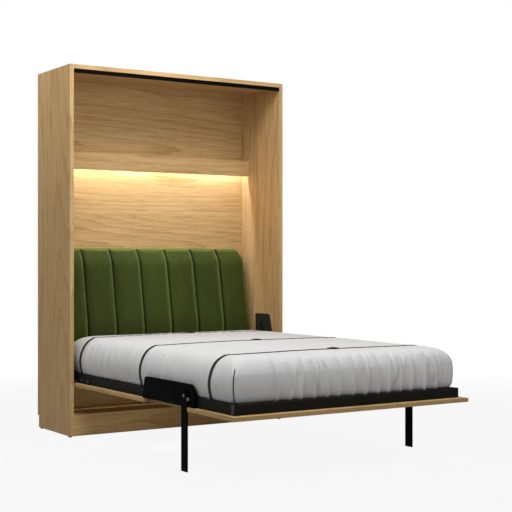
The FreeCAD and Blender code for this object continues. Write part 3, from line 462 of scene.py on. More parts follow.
# The steps of the mattress's section, and of a strap's path up a side and over the top
SKIRT_STEPS, SIDE_STEPS, SHOULDER_STEPS = 12, 40, 100
STRAP_SIDE_STEPS, STRAP_TOP_STEPS = 44, 140


def smooth(low, high, value):
    """0 below low and 1 above high, smooth between them."""
    share = min(max((value - low) / (high - low), 0.0), 1.0)
    return share * share * (3.0 - 2.0 * share)


def bell(value, width):
    return math.exp(-(value / width) ** 2)


def uneven(broad, fine):
    """A broad and a fine unevenness of the foam, each read at its own scale."""
    return noise.noise(broad) * BROAD_HIGH + noise.noise(fine) * FINE_HIGH


def strap_place(name):
    low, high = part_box(name)
    return (low.y + high.y) / 2


def trace_profile():
    """The mattress's section as (inset, height) points with their lengths: skirt, side and shoulder."""
    traced = []
    for step in range(SKIRT_STEPS):
        turn = math.pi / 2 * step / SKIRT_STEPS
        traced.append((TUCK + SKIRT * (1 - math.sin(turn)), MATTRESS_LOW.z + SKIRT * (1 - math.cos(turn))))
    side_low = MATTRESS_LOW.z + SKIRT
    for step in range(SIDE_STEPS):
        share = step / SIDE_STEPS
        traced.append((-BULGE + (TUCK + BULGE) * (1 - share) ** 2, side_low + (WIDEST - side_low) * share))
    for step in range(SHOULDER_STEPS + 1):
        turn = math.pi / 2 * step / SHOULDER_STEPS
        inset = -BULGE + (SHOULDER + BULGE) * (1 - math.cos(turn))
        traced.append((inset, WIDEST + (TOP_EDGE - WIDEST) * math.sin(turn)))
    lengths = [0.0]
    for before, after in zip(traced, traced[1:]):
        lengths.append(lengths[-1] + math.dist(before, after))
    return traced, lengths


PROFILE, PROFILE_LENGTHS = trace_profile()
PROFILE_RUN = PROFILE_LENGTHS[-1]


def rise_profile(length):
    """How far in and how high the mattress's side is at a length up its section, and which way it faces."""
    length = min(max(length, 0.0), PROFILE_RUN)
    index = min(max(bisect.bisect_right(PROFILE_LENGTHS, length) - 1, 0), len(PROFILE) - 2)
    share = (length - PROFILE_LENGTHS[index]) / (PROFILE_LENGTHS[index + 1] - PROFILE_LENGTHS[index])
    inset, height = (a * (1 - share) + b * share for a, b in zip(PROFILE[index], PROFILE[index + 1]))
    first, last = PROFILE[max(index - 2, 0)], PROFILE[min(index + 3, len(PROFILE) - 1)]
    inward, upward = last[0] - first[0], last[1] - first[1]
    size = math.hypot(inward, upward)
    return inset, height, upward / size, inward / size


def half_run(half, radius):
    """The length of half a rectangle's side, with half of its rounded corner."""
    return half - radius + radius * math.pi / 4


def rounded_side(half, radius, share):
    """One side of a rounded rectangle, from the middle of one corner to the middle of the next."""
    straight = half - radius
    run = abs(share) * half_run(half, radius)
    if run <= straight:
        return math.copysign(run, share), 0.0, 0.0, 1.0
    turn = (run - straight) / radius
    along = math.copysign(straight + radius * math.sin(turn), share)
    return along, radius * (1 - math.cos(turn)), math.copysign(math.sin(turn), share), math.cos(turn)


class Mattress:
    """The mattress's skin as a function of place: a crowned box of foam in a gathered cover."""

    sides = ((0, -1), (1, 0), (0, 1), (-1, 0))  # foot, right, head, left

    def __init__(self):
        draw = random.Random(7)
        self.middle = (MATTRESS_LOW.y + MATTRESS_HIGH.y) / 2
        self.half_long = (MATTRESS_HIGH.y - MATTRESS_LOW.y) / 2
        self.straps = [strap_place(name) for name in STRAPS]
        self.gathers = [self.draw_gathers(draw, side) for side in range(4)]

    def draw_gathers(self, draw, side):
        """Where each gather starts, how deep it is, how it leans and how far up it runs."""
        at_end = side in (0, 2)
        half = MATTRESS_HALF if at_end else self.half_long
        start = -half + GATHER_FIRST[side]
        found = []
        while start < half - 0.07:
            power = draw.uniform(0.75, 1.15) if at_end else draw.uniform(0.25, 0.8)
            lean = draw.uniform(-0.05, 0.03)
            top = draw.uniform(0.80, 0.9) if at_end else draw.uniform(0.55, 0.95)
            low = -0.3 if at_end or draw.random() < 0.5 else draw.uniform(0.0, 0.35)
            found.append((start, power, lean, low, top, draw.uniform(0.8, 1.3)))
            if draw.random() < 0.45:
                # A short gather that joins its neighbour part of the way down
                short = draw.uniform(0.35, 0.6)
                found.append((start + draw.uniform(0.025, 0.05), power * 0.55, draw.uniform(-0.12, 0.1),
                              short - 0.3, draw.uniform(0.7, 0.9), 0.8))
            start += GATHER_STEP + draw.uniform(-0.009, 0.009)
        return found

    def gather(self, side, along, length):
        """How far the gathers lift the cover at a place on one side."""
        rise = length / PROFILE_RUN
        total = 0.0
        for start, power, lean, low, top, width in self.gathers[side]:
            if abs(along - start) > GATHER_REACH:
                continue
            wander = noise.noise((start * 31.0, rise * 3.2, side * 5.0)) * 0.007
            path = start + lean * (rise - 0.4) * 0.5 + wander - 0.05 * max(rise - 0.55, 0.0) ** 2
            away = (along - path) / width
            reach = smooth(low - 0.12, low + 0.08, rise) * (1.0 - smooth(top - 0.13, top + 0.05, rise))
            # A long rise that steepens to the crest, then a short fall into the valley beside it
            if away < 0.0:
                fold = 0.42 * bell(away, FOLD_LONG) + 0.58 * bell(away, FOLD_STEEP)
            else:
                fold = bell(away, FOLD_FALL) - 0.28 * bell(away - VALLEY_AWAY, VALLEY_WIDE)
            total += power * reach * fold
        return total

    def fullness(self, side, along):
        """How much fuller than round the shoulder is; the right one is the fullest."""
        right = (smooth(0.1, 0.66, along), 1.0, smooth(0.1, 0.66, -along), 0.0)[side]
        foot = (side == 0) * (1.0 - right) * smooth(-0.66, -0.4, along)
        return FOOT_FULLNESS * foot + SHOULDER_FULLNESS * right

    def pressed(self, y):
        """1 under a strap, falling to 0 beside it."""
        return max(1.0 / (1.0 + (abs(y - place) / STRAP_SPREAD) ** 4) for place in self.straps)

    def strap_dent(self, length):
        """How deep a strap presses at a length up the section."""
        rise = length / PROFILE_RUN
        return 0.0004 + STRAP_DENT * smooth(0.25, 0.6, rise) * (1.0 - smooth(0.85, 1.0, rise))

    def lift(self, side, along, place, length, corner):
        """How far the cover stands out from its plain form, at a distance along its side from the corner."""
        x, y, z = place
        rise = length / PROFILE_RUN
        pressed = 0.0 if side in (0, 2) else self.pressed(y)
        height = GATHER_HEIGHT[side] * self.gather(side, along, length)
        height = height * smooth(0.03, 0.09, corner) * (1.0 - pressed)
        soft = uneven((x * 5.0, y * 5.0, z * 5.0), (x * 16.0, y * 16.0, z * 9.0))
        height += soft * smooth(0.0, 0.15, rise)
        height -= self.strap_dent(length) * pressed
        height += self.fullness(side, along) * math.sin(math.pi * smooth(0.40, 1.0, rise)) ** 1.5
        seam = 1.0 - smooth(0.60, 0.70, rise)
        groove = GROOVE_DEEP * bell(corner, GROOVE_WIDE) - WELT_HIGH * bell(corner - WELT_AWAY, WELT_WIDE)
        height -= groove * seam
        return height * smooth(-0.01, 0.06, rise)

    def section(self, side, length):
        """A side's half length, distance from the middle and corner radius, at a length up the section."""
        inset, height, out, up = rise_profile(length)
        radius = CORNER + (inset * 0.6 if inset > 0 else -inset)
        half_x = MATTRESS_HALF - inset
        # The ends bulge less, so that they stay over the end rails
        half_y = self.half_long - inset + min(inset, 0.0) * 0.45
        half, depth = (half_x, half_y) if side in (0, 2) else (half_y, half_x)
        return half, depth, radius, height, out, up

    def on_side(self, side, share, length, extra=0.0):
        """A point of the cover on one of its four sides, and the way it faces."""
        half, depth, radius, height, out, up = self.section(side, length)
        along, back, turned, facing = rounded_side(half, radius, share)
        across_x, across_y = self.sides[side]
        # Seen from above the sides run anticlockwise, so each runs to the left of the way it faces
        along_x, along_y = -across_y, across_x
        face_x = across_x * facing + along_x * turned
        face_y = across_y * facing + along_y * turned
        x = across_x * (depth - back) + along_x * along
        y = self.middle + across_y * (depth - back) + along_y * along
        corner = (1.0 - abs(share)) * half_run(half, radius)
        rise = self.lift(side, along, (x, y, height), length, corner) + extra
        facing_out = Vector((face_x * out, face_y * out, up))
        return Vector((x, y, height)) + facing_out * rise, facing_out

    def share_at(self, side, along, length):
        """The share of a side's run that lies at a straight distance along it."""
        half, _, radius, *_ = self.section(side, length)
        return along / half_run(half, radius)

    def top_height(self, x, y):
        """Height of the crowned top at a place inside the shoulders."""
        inner_x = MATTRESS_HALF - SHOULDER
        inner_y = self.half_long - SHOULDER
        over_x = min(abs(x) / inner_x, 1.0)
        over_y = inner_y - abs(y - self.middle)
        crown = CROWN * (1.0 - over_x ** 2) * smooth(0.0, 0.2, over_y)
        edge = smooth(0.0, 0.05, min(inner_x - abs(x), over_y))
        soft = uneven((x * 3.1, y * 3.1, 4.0), (x * 11.0, y * 11.0, 9.0)) - 0.0010
        dent = self.strap_dent(PROFILE_RUN) * self.pressed(y)
        pucker = 0.0
        for number, place in enumerate(self.straps):
            away = abs(y - place)
            if away < 0.08:
                drift = 3.0 * noise.noise((x * 4.0, number * 3.0, 1.0))
                beat = math.sin(x * 2 * math.pi / PUCKER_PITCH + drift)
                pucker += (0.0004 + 0.0016 * beat) * bell(away - 0.025, 0.012)
        return TOP_EDGE + crown + (soft + pucker) * edge - dent


def mattress_mesh(cover, across=320, along=300, rows=36):
    """The closed skin of the mattress: sides, gathered shoulders, crowned top and a flat underside."""
    around = 2 * (across + along)
    points = []
    for ring in range(rows + 1):
        length = PROFILE_RUN * ring / rows
        for side, count in enumerate((across, along, across, along)):
            points += [cover.on_side(side, -1.0 + 2.0 * step / count, length)[0] for step in range(count)]
    faces = []
    for low in range(0, rows * around, around):
        for step in range(around):
            after = (step + 1) % around
            faces.append((low + step, low + after, low + around + after, low + around + step))
    faces.append(tuple(reversed(range(around))))

    # The top's grid, column by row: first the points that it shares with the last ring
    edge = rows * around
    half_across = across // 2
    at = {}
    for column in range(half_across + 1):
        at[column, 0] = edge + 2 * column
        at[column, along] = edge + across + along + 2 * (half_across - column)
    for row in range(along + 1):
        at[0, row] = edge + (around - row) % around
        at[half_across, row] = edge + across + row
    corner = {(p, q): points[at[p * half_across, q * along]] for p in (0, 1) for q in (0, 1)}
    for row in range(1, along):
        q = row / along
        left, right = points[at[0, row]], points[at[half_across, row]]
        for column in range(1, half_across):
            p = column / half_across
            foot, head = points[at[column, 0]], points[at[column, along]]
            blend = foot * (1 - q) + head * q + left * (1 - p) + right * p
            blend -= (corner[0, 0] * (1 - q) + corner[0, 1] * q) * (1 - p)
            blend -= (corner[1, 0] * (1 - q) + corner[1, 1] * q) * p
            at[column, row] = len(points)
            points.append(Vector((blend.x, blend.y, cover.top_height(blend.x, blend.y))))

    for row in range(along):
        for column in range(half_across):
            low = [at[column, row], at[column + 1, row]]
            high = [at[column + 1, row + 1], at[column, row + 1]]
            # The ring has two points for each column at its ends, so a face beside them has a fifth corner
            if row == 0:
                low.insert(1, low[0] + 1)
            elif row == along - 1:
                high.insert(1, high[0] + 1)
            faces.append(low + high)
    return points, faces


def new_mesh_piece(name, shape, material, body):
    """A smooth-shaded piece whose shape is given as points and faces."""
    points, faces = shape
    mesh = bpy.data.meshes.new(name)
    mesh.from_pydata(points, [], faces)
    mesh.validate()
    mesh.shade_smooth()
    piece = bpy.data.objects.new(name, mesh)
    bpy.context.scene.collection.objects.link(piece)
    piece.data.materials.append(material)
    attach(piece, body)
    return piece


def sweep_faces(count, size):
    """The faces of a closed sweep: so many rings of so many points, and its two ends."""
    faces = [tuple(range(size))]
    for low in range(0, (count - 1) * size, size):
        for step in range(size):
            after = (step + 1) % size
            faces.append((low + step, low + size + step, low + size + after, low + after))
    faces.append(tuple(reversed(range((count - 1) * size, count * size))))
    return faces


def swept_band(path, half_width, thickness):
    """A closed band along a path of (point, outward normal); its width lies along the bed."""
    points = []
    for place, normal in path:
        for across, out in BAND_RING:
            points.append(place + Vector((0.0, across * half_width, 0.0)) + normal * (out * thickness))
    return points, sweep_faces(len(path), len(BAND_RING))


def swept_tube(path, radius, sides, taper=0.0):
    """A closed round tube along a path of (point, outward normal); its ends may taper."""
    points = []
    for number, (place, normal) in enumerate(path):
        before = path[max(number - 1, 0)][0]
        after = path[min(number + 1, len(path) - 1)][0]
        forward = (after - before).normalized()
        side = forward.cross(normal).normalized()
        up = side.cross(forward)
        from_end = min(number, len(path) - 1 - number)
        size = radius * (1.0 - taper * max(0.0, 1.0 - from_end / 4.0))
        for step in range(sides):
            turn = 2 * math.pi * step / sides
            points.append(place + (side * math.cos(turn) + up * math.sin(turn)) * size)
    return points, sweep_faces(len(path), sides)


def strap_path(cover, y, clear):
    """Up the left side of the mattress, over its top and down the right, in the straps' dents."""
    start = SKIRT * 0.8
    steps = STRAP_SIDE_STEPS
    lengths = [start + (PROFILE_RUN - start) * step / steps for step in range(steps + 1)]
    spread = 1.0 - 1.0 / (1.0 + (STRAP_HALF / STRAP_SPREAD) ** 4)

    def up_side(side, along):
        for length in lengths:
            extra = cover.strap_dent(length) * spread + clear
            yield cover.on_side(side, cover.share_at(side, along, length), length, extra)

    path = list(up_side(3, cover.middle - y))
    inner = MATTRESS_HALF - SHOULDER
    extra = cover.strap_dent(PROFILE_RUN) * spread + clear
    for step in range(1, STRAP_TOP_STEPS):
        x = -inner + 2 * inner * step / STRAP_TOP_STEPS
        path.append((Vector((x, y, cover.top_height(x, y) + extra)), UP))
    return path + list(reversed(list(up_side(1, y - cover.middle))))


def add_run(piece, path, ring):
    """Store how far along its path each point of a swept piece lies."""
    runs = [0.0]
    for (before, _), (after, _) in zip(path, path[1:]):
        runs.append(runs[-1] + (after - before).length)
    store(piece, "run", [run for run in runs for _ in range(ring)])


def slide_buckle(name, place, material):
    """A moulded three-bar slide: a plate with two slots, every edge rounded."""

    def block(shift, scale):
        middle = place + Vector((shift, 0.0, SLIDE_THICK / 2))
        bpy.ops.mesh.primitive_cube_add(size=1.0, location=middle, scale=scale)
        return bpy.context.object

    plate = block(0.0, (SLIDE_LONG, SLIDE_WIDE, SLIDE_THICK))
    plate.name = name
    slot = (SLIDE_LONG - 3 * SLIDE_BAR) / 2
    for sign in (-1, 1):
        cutter = block(sign * (SLIDE_BAR + slot) / 2, (slot, SLIDE_WIDE - 2 * SLIDE_RAIL, SLIDE_THICK * 3))
        cut = plate.modifiers.new("slot", "BOOLEAN")
        cut.operation = "DIFFERENCE"
        cut.object = cutter
        cut.solver = "EXACT"
        pick(plate)
        bpy.ops.object.modifier_apply(modifier=cut.name)
        bpy.data.objects.remove(cutter, do_unlink=True)
    bpy.ops.object.transform_apply(location=True, rotation=True, scale=True)
    soften = plate.modifiers.new("soften", "BEVEL")
    soften.width = 0.0011
    soften.segments = 3
    soften.limit_method = "ANGLE"
    bpy.ops.object.modifier_apply(modifier=soften.name)
    bpy.ops.object.shade_smooth_by_angle(angle=math.radians(40.0))
    plate.data.materials.clear()
    plate.data.materials.append(material)
    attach(plate, "bed")
    return plate


# Headboard

HEADBOARD_LOW, HEADBOARD_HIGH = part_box("headboard_cushion")

# The channels, their steps down to the seams and the piping in them
CHANNELS = 7
SIDE_ROLL = 0.022
CHANNEL_CROWN = 0.0025
CHANNEL_STEP = 0.025
CHANNEL_SHARPNESS = 18
PIPING_RADIUS = 0.0042
PIPING_PROUD = 0.0042
PIPING_SIDES = 10

# The crest's line: the bend's height and half width, the lean above it, the slope below the top, and the edge
BEND = 0.62
BEND_HALF = 0.06
LEAN = 0.19
TOP_SLOPE = 0.5
SLOPE_START, SLOPE_END = 0.119, 0.059
EDGE_ROLL = 0.018
EDGE_ANGLE = math.radians(35.0)
REAR_GAP = 0.004
REAR_ROOM = 0.003

# The outer channels' upper corners
CORNER_WIDE, CORNER_HIGH = 0.045, 0.06
CORNER_DROP = 0.014

# How far the painted shade beside a seam and the painted highlight along the top edge reach
SEAM_SHADE_LEFT = 0.013
SEAM_SHADE_RIGHT = 0.017
SEAM_CORE = 0.55
RIM_LIGHT_LOW, RIM_LIGHT_HIGH = 0.022, 0.008

# The padding's simulation: its steps, pressure and slack, and how far a point may move and stand out in front
SWELL_FRAMES = 20
SWELL_PRESSURE = 4.0
SWELL_SLACK = 0.004
SWELL_REACH = 0.007
SWELL_PROUD = 0.002


def headboard_profile(steps=60, turns=8):
    """The crest's line in the side view: (y, z) from the bottom up and over the top's tight edge."""
    rear = HEADBOARD_HIGH.y - REAR_GAP
    low, top = HEADBOARD_LOW.z, HEADBOARD_HIGH.z
    roll_low = top - EDGE_ROLL
    rise = (roll_low - low) / steps
    line = []
    y = HEADBOARD_LOW.y
    for step in range(steps + 1):
        z = low + rise * step
        line.append((y, z))
        lean = LEAN * smooth(BEND - BEND_HALF, BEND + BEND_HALF, z)
        y += rise * (lean + TOP_SLOPE * smooth(top - SLOPE_START, top - SLOPE_END, z))
    y = line[-1][0]
    first = EDGE_ANGLE
    for step in range(1, turns + 1):
        turn = first + (math.pi / 2 - first) * step / turns
        back = (math.cos(first) - math.cos(turn)) / math.cos(first)
        up = (math.sin(turn) - math.sin(first)) / (1 - math.sin(first))
        line.append((y + (rear - y) * back, roll_low + EDGE_ROLL * up))
    return line


def channel_columns(per_channel=18, roll=6):
    """(x, depth below the crest) of each column of the face, from left to right."""
    half = HEADBOARD_HIGH.x
    width = 2 * half / CHANNELS
    edge = half - SIDE_ROLL
    columns = []
    for channel in range(CHANNELS):
        middle = -half + width * (channel + 0.5)
        for step in range(per_channel):
            share = math.sin(math.pi / 2 * (2 * step / per_channel - 1))
            x = middle + share * width / 2
            if abs(x) > edge:
                continue
            outward = (channel == 0 and share < 0) or (channel == CHANNELS - 1 and share > 0)
            step_down = 0.0 if outward else CHANNEL_STEP * abs(share) ** CHANNEL_SHARPNESS
            columns.append((x, CHANNEL_CROWN * share ** 2 + step_down))
    right = []
    for step in range(roll + 1):
        turn = math.pi / 2 * step / roll
        right.append((edge + SIDE_ROLL * math.sin(turn), CHANNEL_CROWN + SIDE_ROLL * (1 - math.cos(turn))))
    left = [(-x, depth) for x, depth in reversed(right)]
    return left + columns + right


def headboard_point(x, depth, y, z):
    """A point of the padded face, with the rounded upper corners of the outer channels."""
    top_share = smooth(HEADBOARD_HIGH.z - CORNER_HIGH, HEADBOARD_HIGH.z, z)
    corner = smooth(HEADBOARD_HIGH.x - CORNER_WIDE, HEADBOARD_HIGH.x, abs(x))
    room = HEADBOARD_HIGH.y - REAR_ROOM - y
    y += room * math.tanh(depth / room)
    z = z - CORNER_DROP * corner ** 2 * top_share - depth * 0.35 * top_share
    return Vector((x * (1.0 - 0.006 * top_share), y, z))


def headboard_mesh():
    """The padded form, open at the back, and which of its points are sewn down: seams, back and bottom."""
    line = headboard_profile()
    columns = channel_columns()
    rear = HEADBOARD_HIGH.y
    points = [headboard_point(x, depth, y, z) for y, z in line for x, depth in columns]
    wide = len(columns)
    sewn = set(range(wide))
    for column, (x, depth) in enumerate(columns):
        if depth > CHANNEL_STEP:
            sewn.update(row * wide + column for row in range(len(line)))
    faces = []
    for row in range(len(line) - 1):
        for column in range(wide - 1):
            low = row * wide + column
            faces.append((low, low + 1, low + wide + 1, low + wide))
    # The back: the face's outline laid flat on the board
    rim = list(range(wide))
    rim += [row * wide + wide - 1 for row in range(1, len(line))]
    rim += [(len(line) - 1) * wide + column for column in range(wide - 2, -1, -1)]
    rim += [row * wide for row in range(len(line) - 2, 0, -1)]
    back = []
    for index in rim:
        back.append(len(points))
        points.append(Vector((points[index].x, rear, points[index].z)))
    for step in range(len(rim)):
        after = (step + 1) % len(rim)
        faces.append((rim[after], rim[step], back[step], back[after]))
    return points, faces, sorted(sewn | set(back))


def mark_seam_shade_and_rim_light(piece):
    """Store how near each point is to a seam and to the top, from 0 away from it to 1 at it, for the painted
    seam shade and top highlight.
    """
    half = HEADBOARD_HIGH.x
    width = 2 * half / CHANNELS
    top = HEADBOARD_HIGH.z
    seam, rim = [], []
    for vertex in piece.data.vertices:
        number = round((vertex.co.x + half) / width)
        away = vertex.co.x + half - number * width
        reach = SEAM_SHADE_RIGHT if away > 0 else SEAM_SHADE_LEFT
        between = 0 < number < CHANNELS
        seam.append(1.0 - smooth(SEAM_CORE * reach, reach, abs(away)) if between else 0.0)
        rim.append(smooth(top - RIM_LIGHT_LOW, top - RIM_LIGHT_HIGH, vertex.co.z))
    store(piece, "seam", seam)
    store(piece, "rim", rim)


def refine(piece):
    """One level of subdivision, applied, and the open back closed with one flat face."""
    finer = piece.modifiers.new("finer", "SUBSURF")
    finer.levels = 1
    finer.render_levels = 1
    pick(piece)
    bpy.ops.object.modifier_apply(modifier=finer.name)
    bpy.ops.object.mode_set(mode="EDIT")
    bpy.ops.mesh.select_mode(type="EDGE")
    bpy.ops.mesh.select_all(action="DESELECT")
    bpy.ops.mesh.select_non_manifold()
    bpy.ops.mesh.edge_face_add()
    bpy.ops.mesh.select_all(action="SELECT")
    bpy.ops.mesh.normals_make_consistent(inside=False)
    bpy.ops.object.mode_set(mode="OBJECT")


def swell(piece, held, lowest_y):
    """Fill a padded piece with the cloth solver. Held points stay, and others move by the reach at most."""
    scene = bpy.context.scene
    group = piece.vertex_groups.new(name="held")
    group.add(held, 1.0, "REPLACE")
    padding = piece.modifiers.new("padding", "CLOTH")
    padding.point_cache.frame_start = 1
    padding.point_cache.frame_end = SWELL_FRAMES
    padding.collision_settings.use_collision = False
    cloth = padding.settings
    cloth.quality = 4
    cloth.mass = 0.3
    cloth.tension_stiffness = 5.0
    cloth.compression_stiffness = 5.0
    cloth.shear_stiffness = 1.7
    cloth.bending_stiffness = 0.5
    cloth.use_pressure = True
    cloth.uniform_pressure_force = SWELL_PRESSURE
    cloth.vertex_group_mass = group.name
    cloth.shrink_min = -SWELL_SLACK
    cloth.effector_weights.gravity = 0.0
    for number in range(1, SWELL_FRAMES + 1):
        scene.frame_set(number)
    shaped = piece.evaluated_get(bpy.context.evaluated_depsgraph_get())
    after = [vertex.co.copy() for vertex in shaped.data.vertices]
    piece.modifiers.remove(padding)
    piece.vertex_groups.clear()
    scene.frame_set(1)
    for vertex, end in zip(piece.data.vertices, after):
        moved = end - vertex.co
        if moved.length > SWELL_REACH:
            moved *= SWELL_REACH / moved.length
        place = vertex.co + moved
        vertex.co = Vector((place.x, max(place.y, lowest_y), place.z))
    piece.data.update()


def seam_path(x):
    """A seam's piping, from the bottom up to the top's edge and over it."""
    path = []
    depth = CHANNEL_CROWN + CHANNEL_STEP
    line = headboard_profile()
    for number, (y, z) in enumerate(line):
        before = line[max(number - 1, 0)]
        after = line[min(number + 1, len(line) - 1)]
        run_y, run_z = after[0] - before[0], after[1] - before[1]
        size = math.hypot(run_y, run_z)
        facing = Vector((0.0, -run_z / size, run_y / size))
        path.append((headboard_point(x, depth, y, z) + facing * PIPING_PROUD, facing))
    return path


# Settings

class WallBedSettings(bpy.types.PropertyGroup):
    """Sizes and strengths a user would change."""

    camera_place: FloatVectorProperty(
        name="Camera place", description="Where the photographer stands", default=(-3.5197, -5.6848, 1.0397),
        unit="LENGTH", subtype="XYZ")
    camera_turn: FloatProperty(
        name="Camera turn", description="How far the camera is turned to the right", subtype="ANGLE",
        default=math.radians(32.67))
    lens: FloatProperty(
        name="Lens", description="Focal length for a 36 mm sensor", default=82.84, unit="CAMERA")
    camera_shift: FloatProperty(
        name="Shift", description="Upward shift of the frame, as a share of its width", default=0.0049)
    sky: FloatProperty(
        name="Sky", description="Strength of the even light from all round", default=0.22, min=0.0)
    studio: FloatProperty(
        name="Studio lamps", description="Strength of the studio's soft lamps", default=1.0, min=0.0)
    lamp_power: FloatProperty(
        name="Shelf light", description="Power of the light under the shelf", unit="POWER",
        default=5.7, min=0.0)
    lamp_colour: FloatVectorProperty(
        name="Shelf light colour", description="A cool white", subtype="COLOR",
        default=(0.92, 0.955, 1.0), min=0.0, max=1.0)
    velvet_colour: FloatVectorProperty(
        name="Velvet", description="Colour of the headboard", subtype="COLOR",
        default=(0.036, 0.048, 0.0055), min=0.0, max=1.0)
    cloth_colour: FloatVectorProperty(
        name="Cover", description="Colour of the mattress cover", subtype="COLOR",
        default=(0.735, 0.738, 0.745), min=0.0, max=1.0)


# The floor: its size, its colour in the lamps' light, the share of plain white that the camera sees near the
# bed, and the distances between which that share grows to all
FLOOR_RADIUS = 26.0
FLOOR_GREY = (0.34, 0.34, 0.34, 1.0)
FLOOR_NEAR = 0.91
FLOOR_FADE = (2.2, 5.0)

# The studio lamps' colour, and each one's size in metres, power in watts, place and aim
STUDIO_WHITE = (1.0, 0.995, 0.98)
STUDIO_LAMPS = (
    ("over_left", 2.0, 92.0, (-1.6, -1.7, 4.3), (0.0, 0.1, 0.9)),
    ("over_right", 2.0, 42.0, (1.2, -1.7, 4.3), (0.0, 0.1, 0.9)),
    ("front_fill", 1.2, 9.0, (-0.6, -0.7, 2.62), (0.0, 1.0, 1.5)),
    ("side_left", 1.2, 19.0, (-2.3, 1.5, 2.9), (-0.75, 0.9, 1.4)),
    ("foot_right", 1.4, 9.0, (1.6, -3.4, 1.8), (0.2, -1.0, 0.5)),
    ("under_bed", 0.2, 0.75, (-0.42, -0.05, 0.14), (-0.36, 0.7, 0.12)),
    ("shelf_fill", 0.5, 1.3, (-0.2, 0.1, 1.95), (0.0, 1.1, 1.95)),
)

# Each veneer's nodes, name, grain axis and shift, with the strength of its figure and its depth of tone
VENEERS = (
    (["side_panel_left"], "oak_side_left", 2, (0.3, 0.0, 0.1)),
    (["side_panel_right"], "oak_side_right", 2, (1.7, 0.6, 0.4)),
    (["top_panel", "bottom_panel"], "oak_across_flat", 0, (0.2, 0.4, 0.9)),
    (["back_panel_upper"], "oak_back_upper", 0, (0.0, 0.0, 0.35), 1.3, 1.1),
    (["back_panel_lower"], "oak_back_lower", 0, (0.4, 0.0, 1.25), 1.3, 1.1),
    (["shelf_fascia", "shelf_board"], "oak_shelf", 0, (0.9, 0.2, 0.0), 1.2),
    (["plinth_board", "rear_plinth_board"], "oak_plinth", 0, (0.1, 0.7, 0.2), 1.2),
    (["ledge_front_board", "ledge_top_board"], "oak_ledge", 0, (0.5, 0.3, 0.6), 1.2),
)


# Operators

class WALLBED_OT_stage(bpy.types.Operator):
    """Make the floor, the lamps and the camera"""

    bl_idname = "wall_bed.stage"
    bl_label = "Stage"

    def execute(self, context):
        chosen = settings()
        scene = context.scene
        scene.view_settings.view_transform = "Standard"

        bpy.ops.object.select_all(action="DESELECT")
        bpy.ops.mesh.primitive_circle_add(vertices=96, radius=FLOOR_RADIUS, fill_type="NGON",
                                          location=(0.0, 0.0, 0.0))
        floor = context.object
        floor.name = "studio_floor"
        f = Finish("studio_floor")
        away = f.make("ShaderNodeVectorMath", {0: f.place()}, "Value", operation="LENGTH")
        shown = f.ray("Camera").most(f.ray("Glossy")).most(f.ray("Transmission"))
        matte = f.make("ShaderNodeBsdfDiffuse", {"Color": FLOOR_GREY})
        white = f.make("ShaderNodeEmission", {"Color": WHITE, "Strength": 1.0})
        share = shown * (FLOOR_NEAR + away.step(*FLOOR_FADE) * (1.0 - FLOOR_NEAR))
        mixed = f.make("ShaderNodeMixShader", {0: share, 1: matte, 2: white})
        floor.data.materials.append(f.output(mixed))

        f = Finish("studio", "worlds")
        lit = f.make("ShaderNodeBackground", {"Color": (0.985, 0.99, 1.0, 1.0), "Strength": chosen.sky})
        white = f.make("ShaderNodeBackground", {"Color": WHITE, "Strength": 1.0})
        shown = f.ray("Camera").most(f.ray("Transmission"))
        mixed = f.make("ShaderNodeMixShader", {0: shown, 1: lit, 2: white})
        scene.world = f.output(mixed, "ShaderNodeOutputWorld")

        for name, size, power, eye, target in STUDIO_LAMPS:
            lamp = flat_lamp(name, size, size, power * chosen.studio, STUDIO_WHITE)
            lamp.visible_camera = False
            lamp.location = eye
            lamp.rotation_euler = (Vector(target) - Vector(eye)).to_track_quat("-Z", "Y").to_euler()

        bpy.ops.object.camera_add()
        camera = context.object
        camera.name = "photo_camera"
        camera.location = chosen.camera_place
        camera.rotation_euler = (math.radians(90.0), 0.0, -chosen.camera_turn)
        camera.data.sensor_width = 36.0
        camera.data.lens = chosen.lens
        camera.data.shift_y = chosen.camera_shift
        scene.camera = camera
        return {"FINISHED"}


class WALLBED_OT_cabinet(bpy.types.Operator):
    """Finish the cabinet's boards, rails and fittings"""

    bl_idname = "wall_bed.cabinet"
    bl_label = "Cabinet"

    def execute(self, context):
        for nodes, *looks in VENEERS:
            dress(nodes, oak(*looks))
        plywood = plain_wood("plywood", (0.62, 0.46, 0.29), (0.43, 0.29, 0.16), 0.003)
        dress(["wall_rail_top", "wall_rail_middle", "wall_rail_bottom", "headboard_board"], plywood)
        dress(["cabinet_glides"], moulded("black_nylon", (0.012, 0.012, 0.012), 0.5))
        dress(["top_strip"], coated_steel("strip_black", (0.0025, 0.0025, 0.0023)))
        return {"FINISHED"}


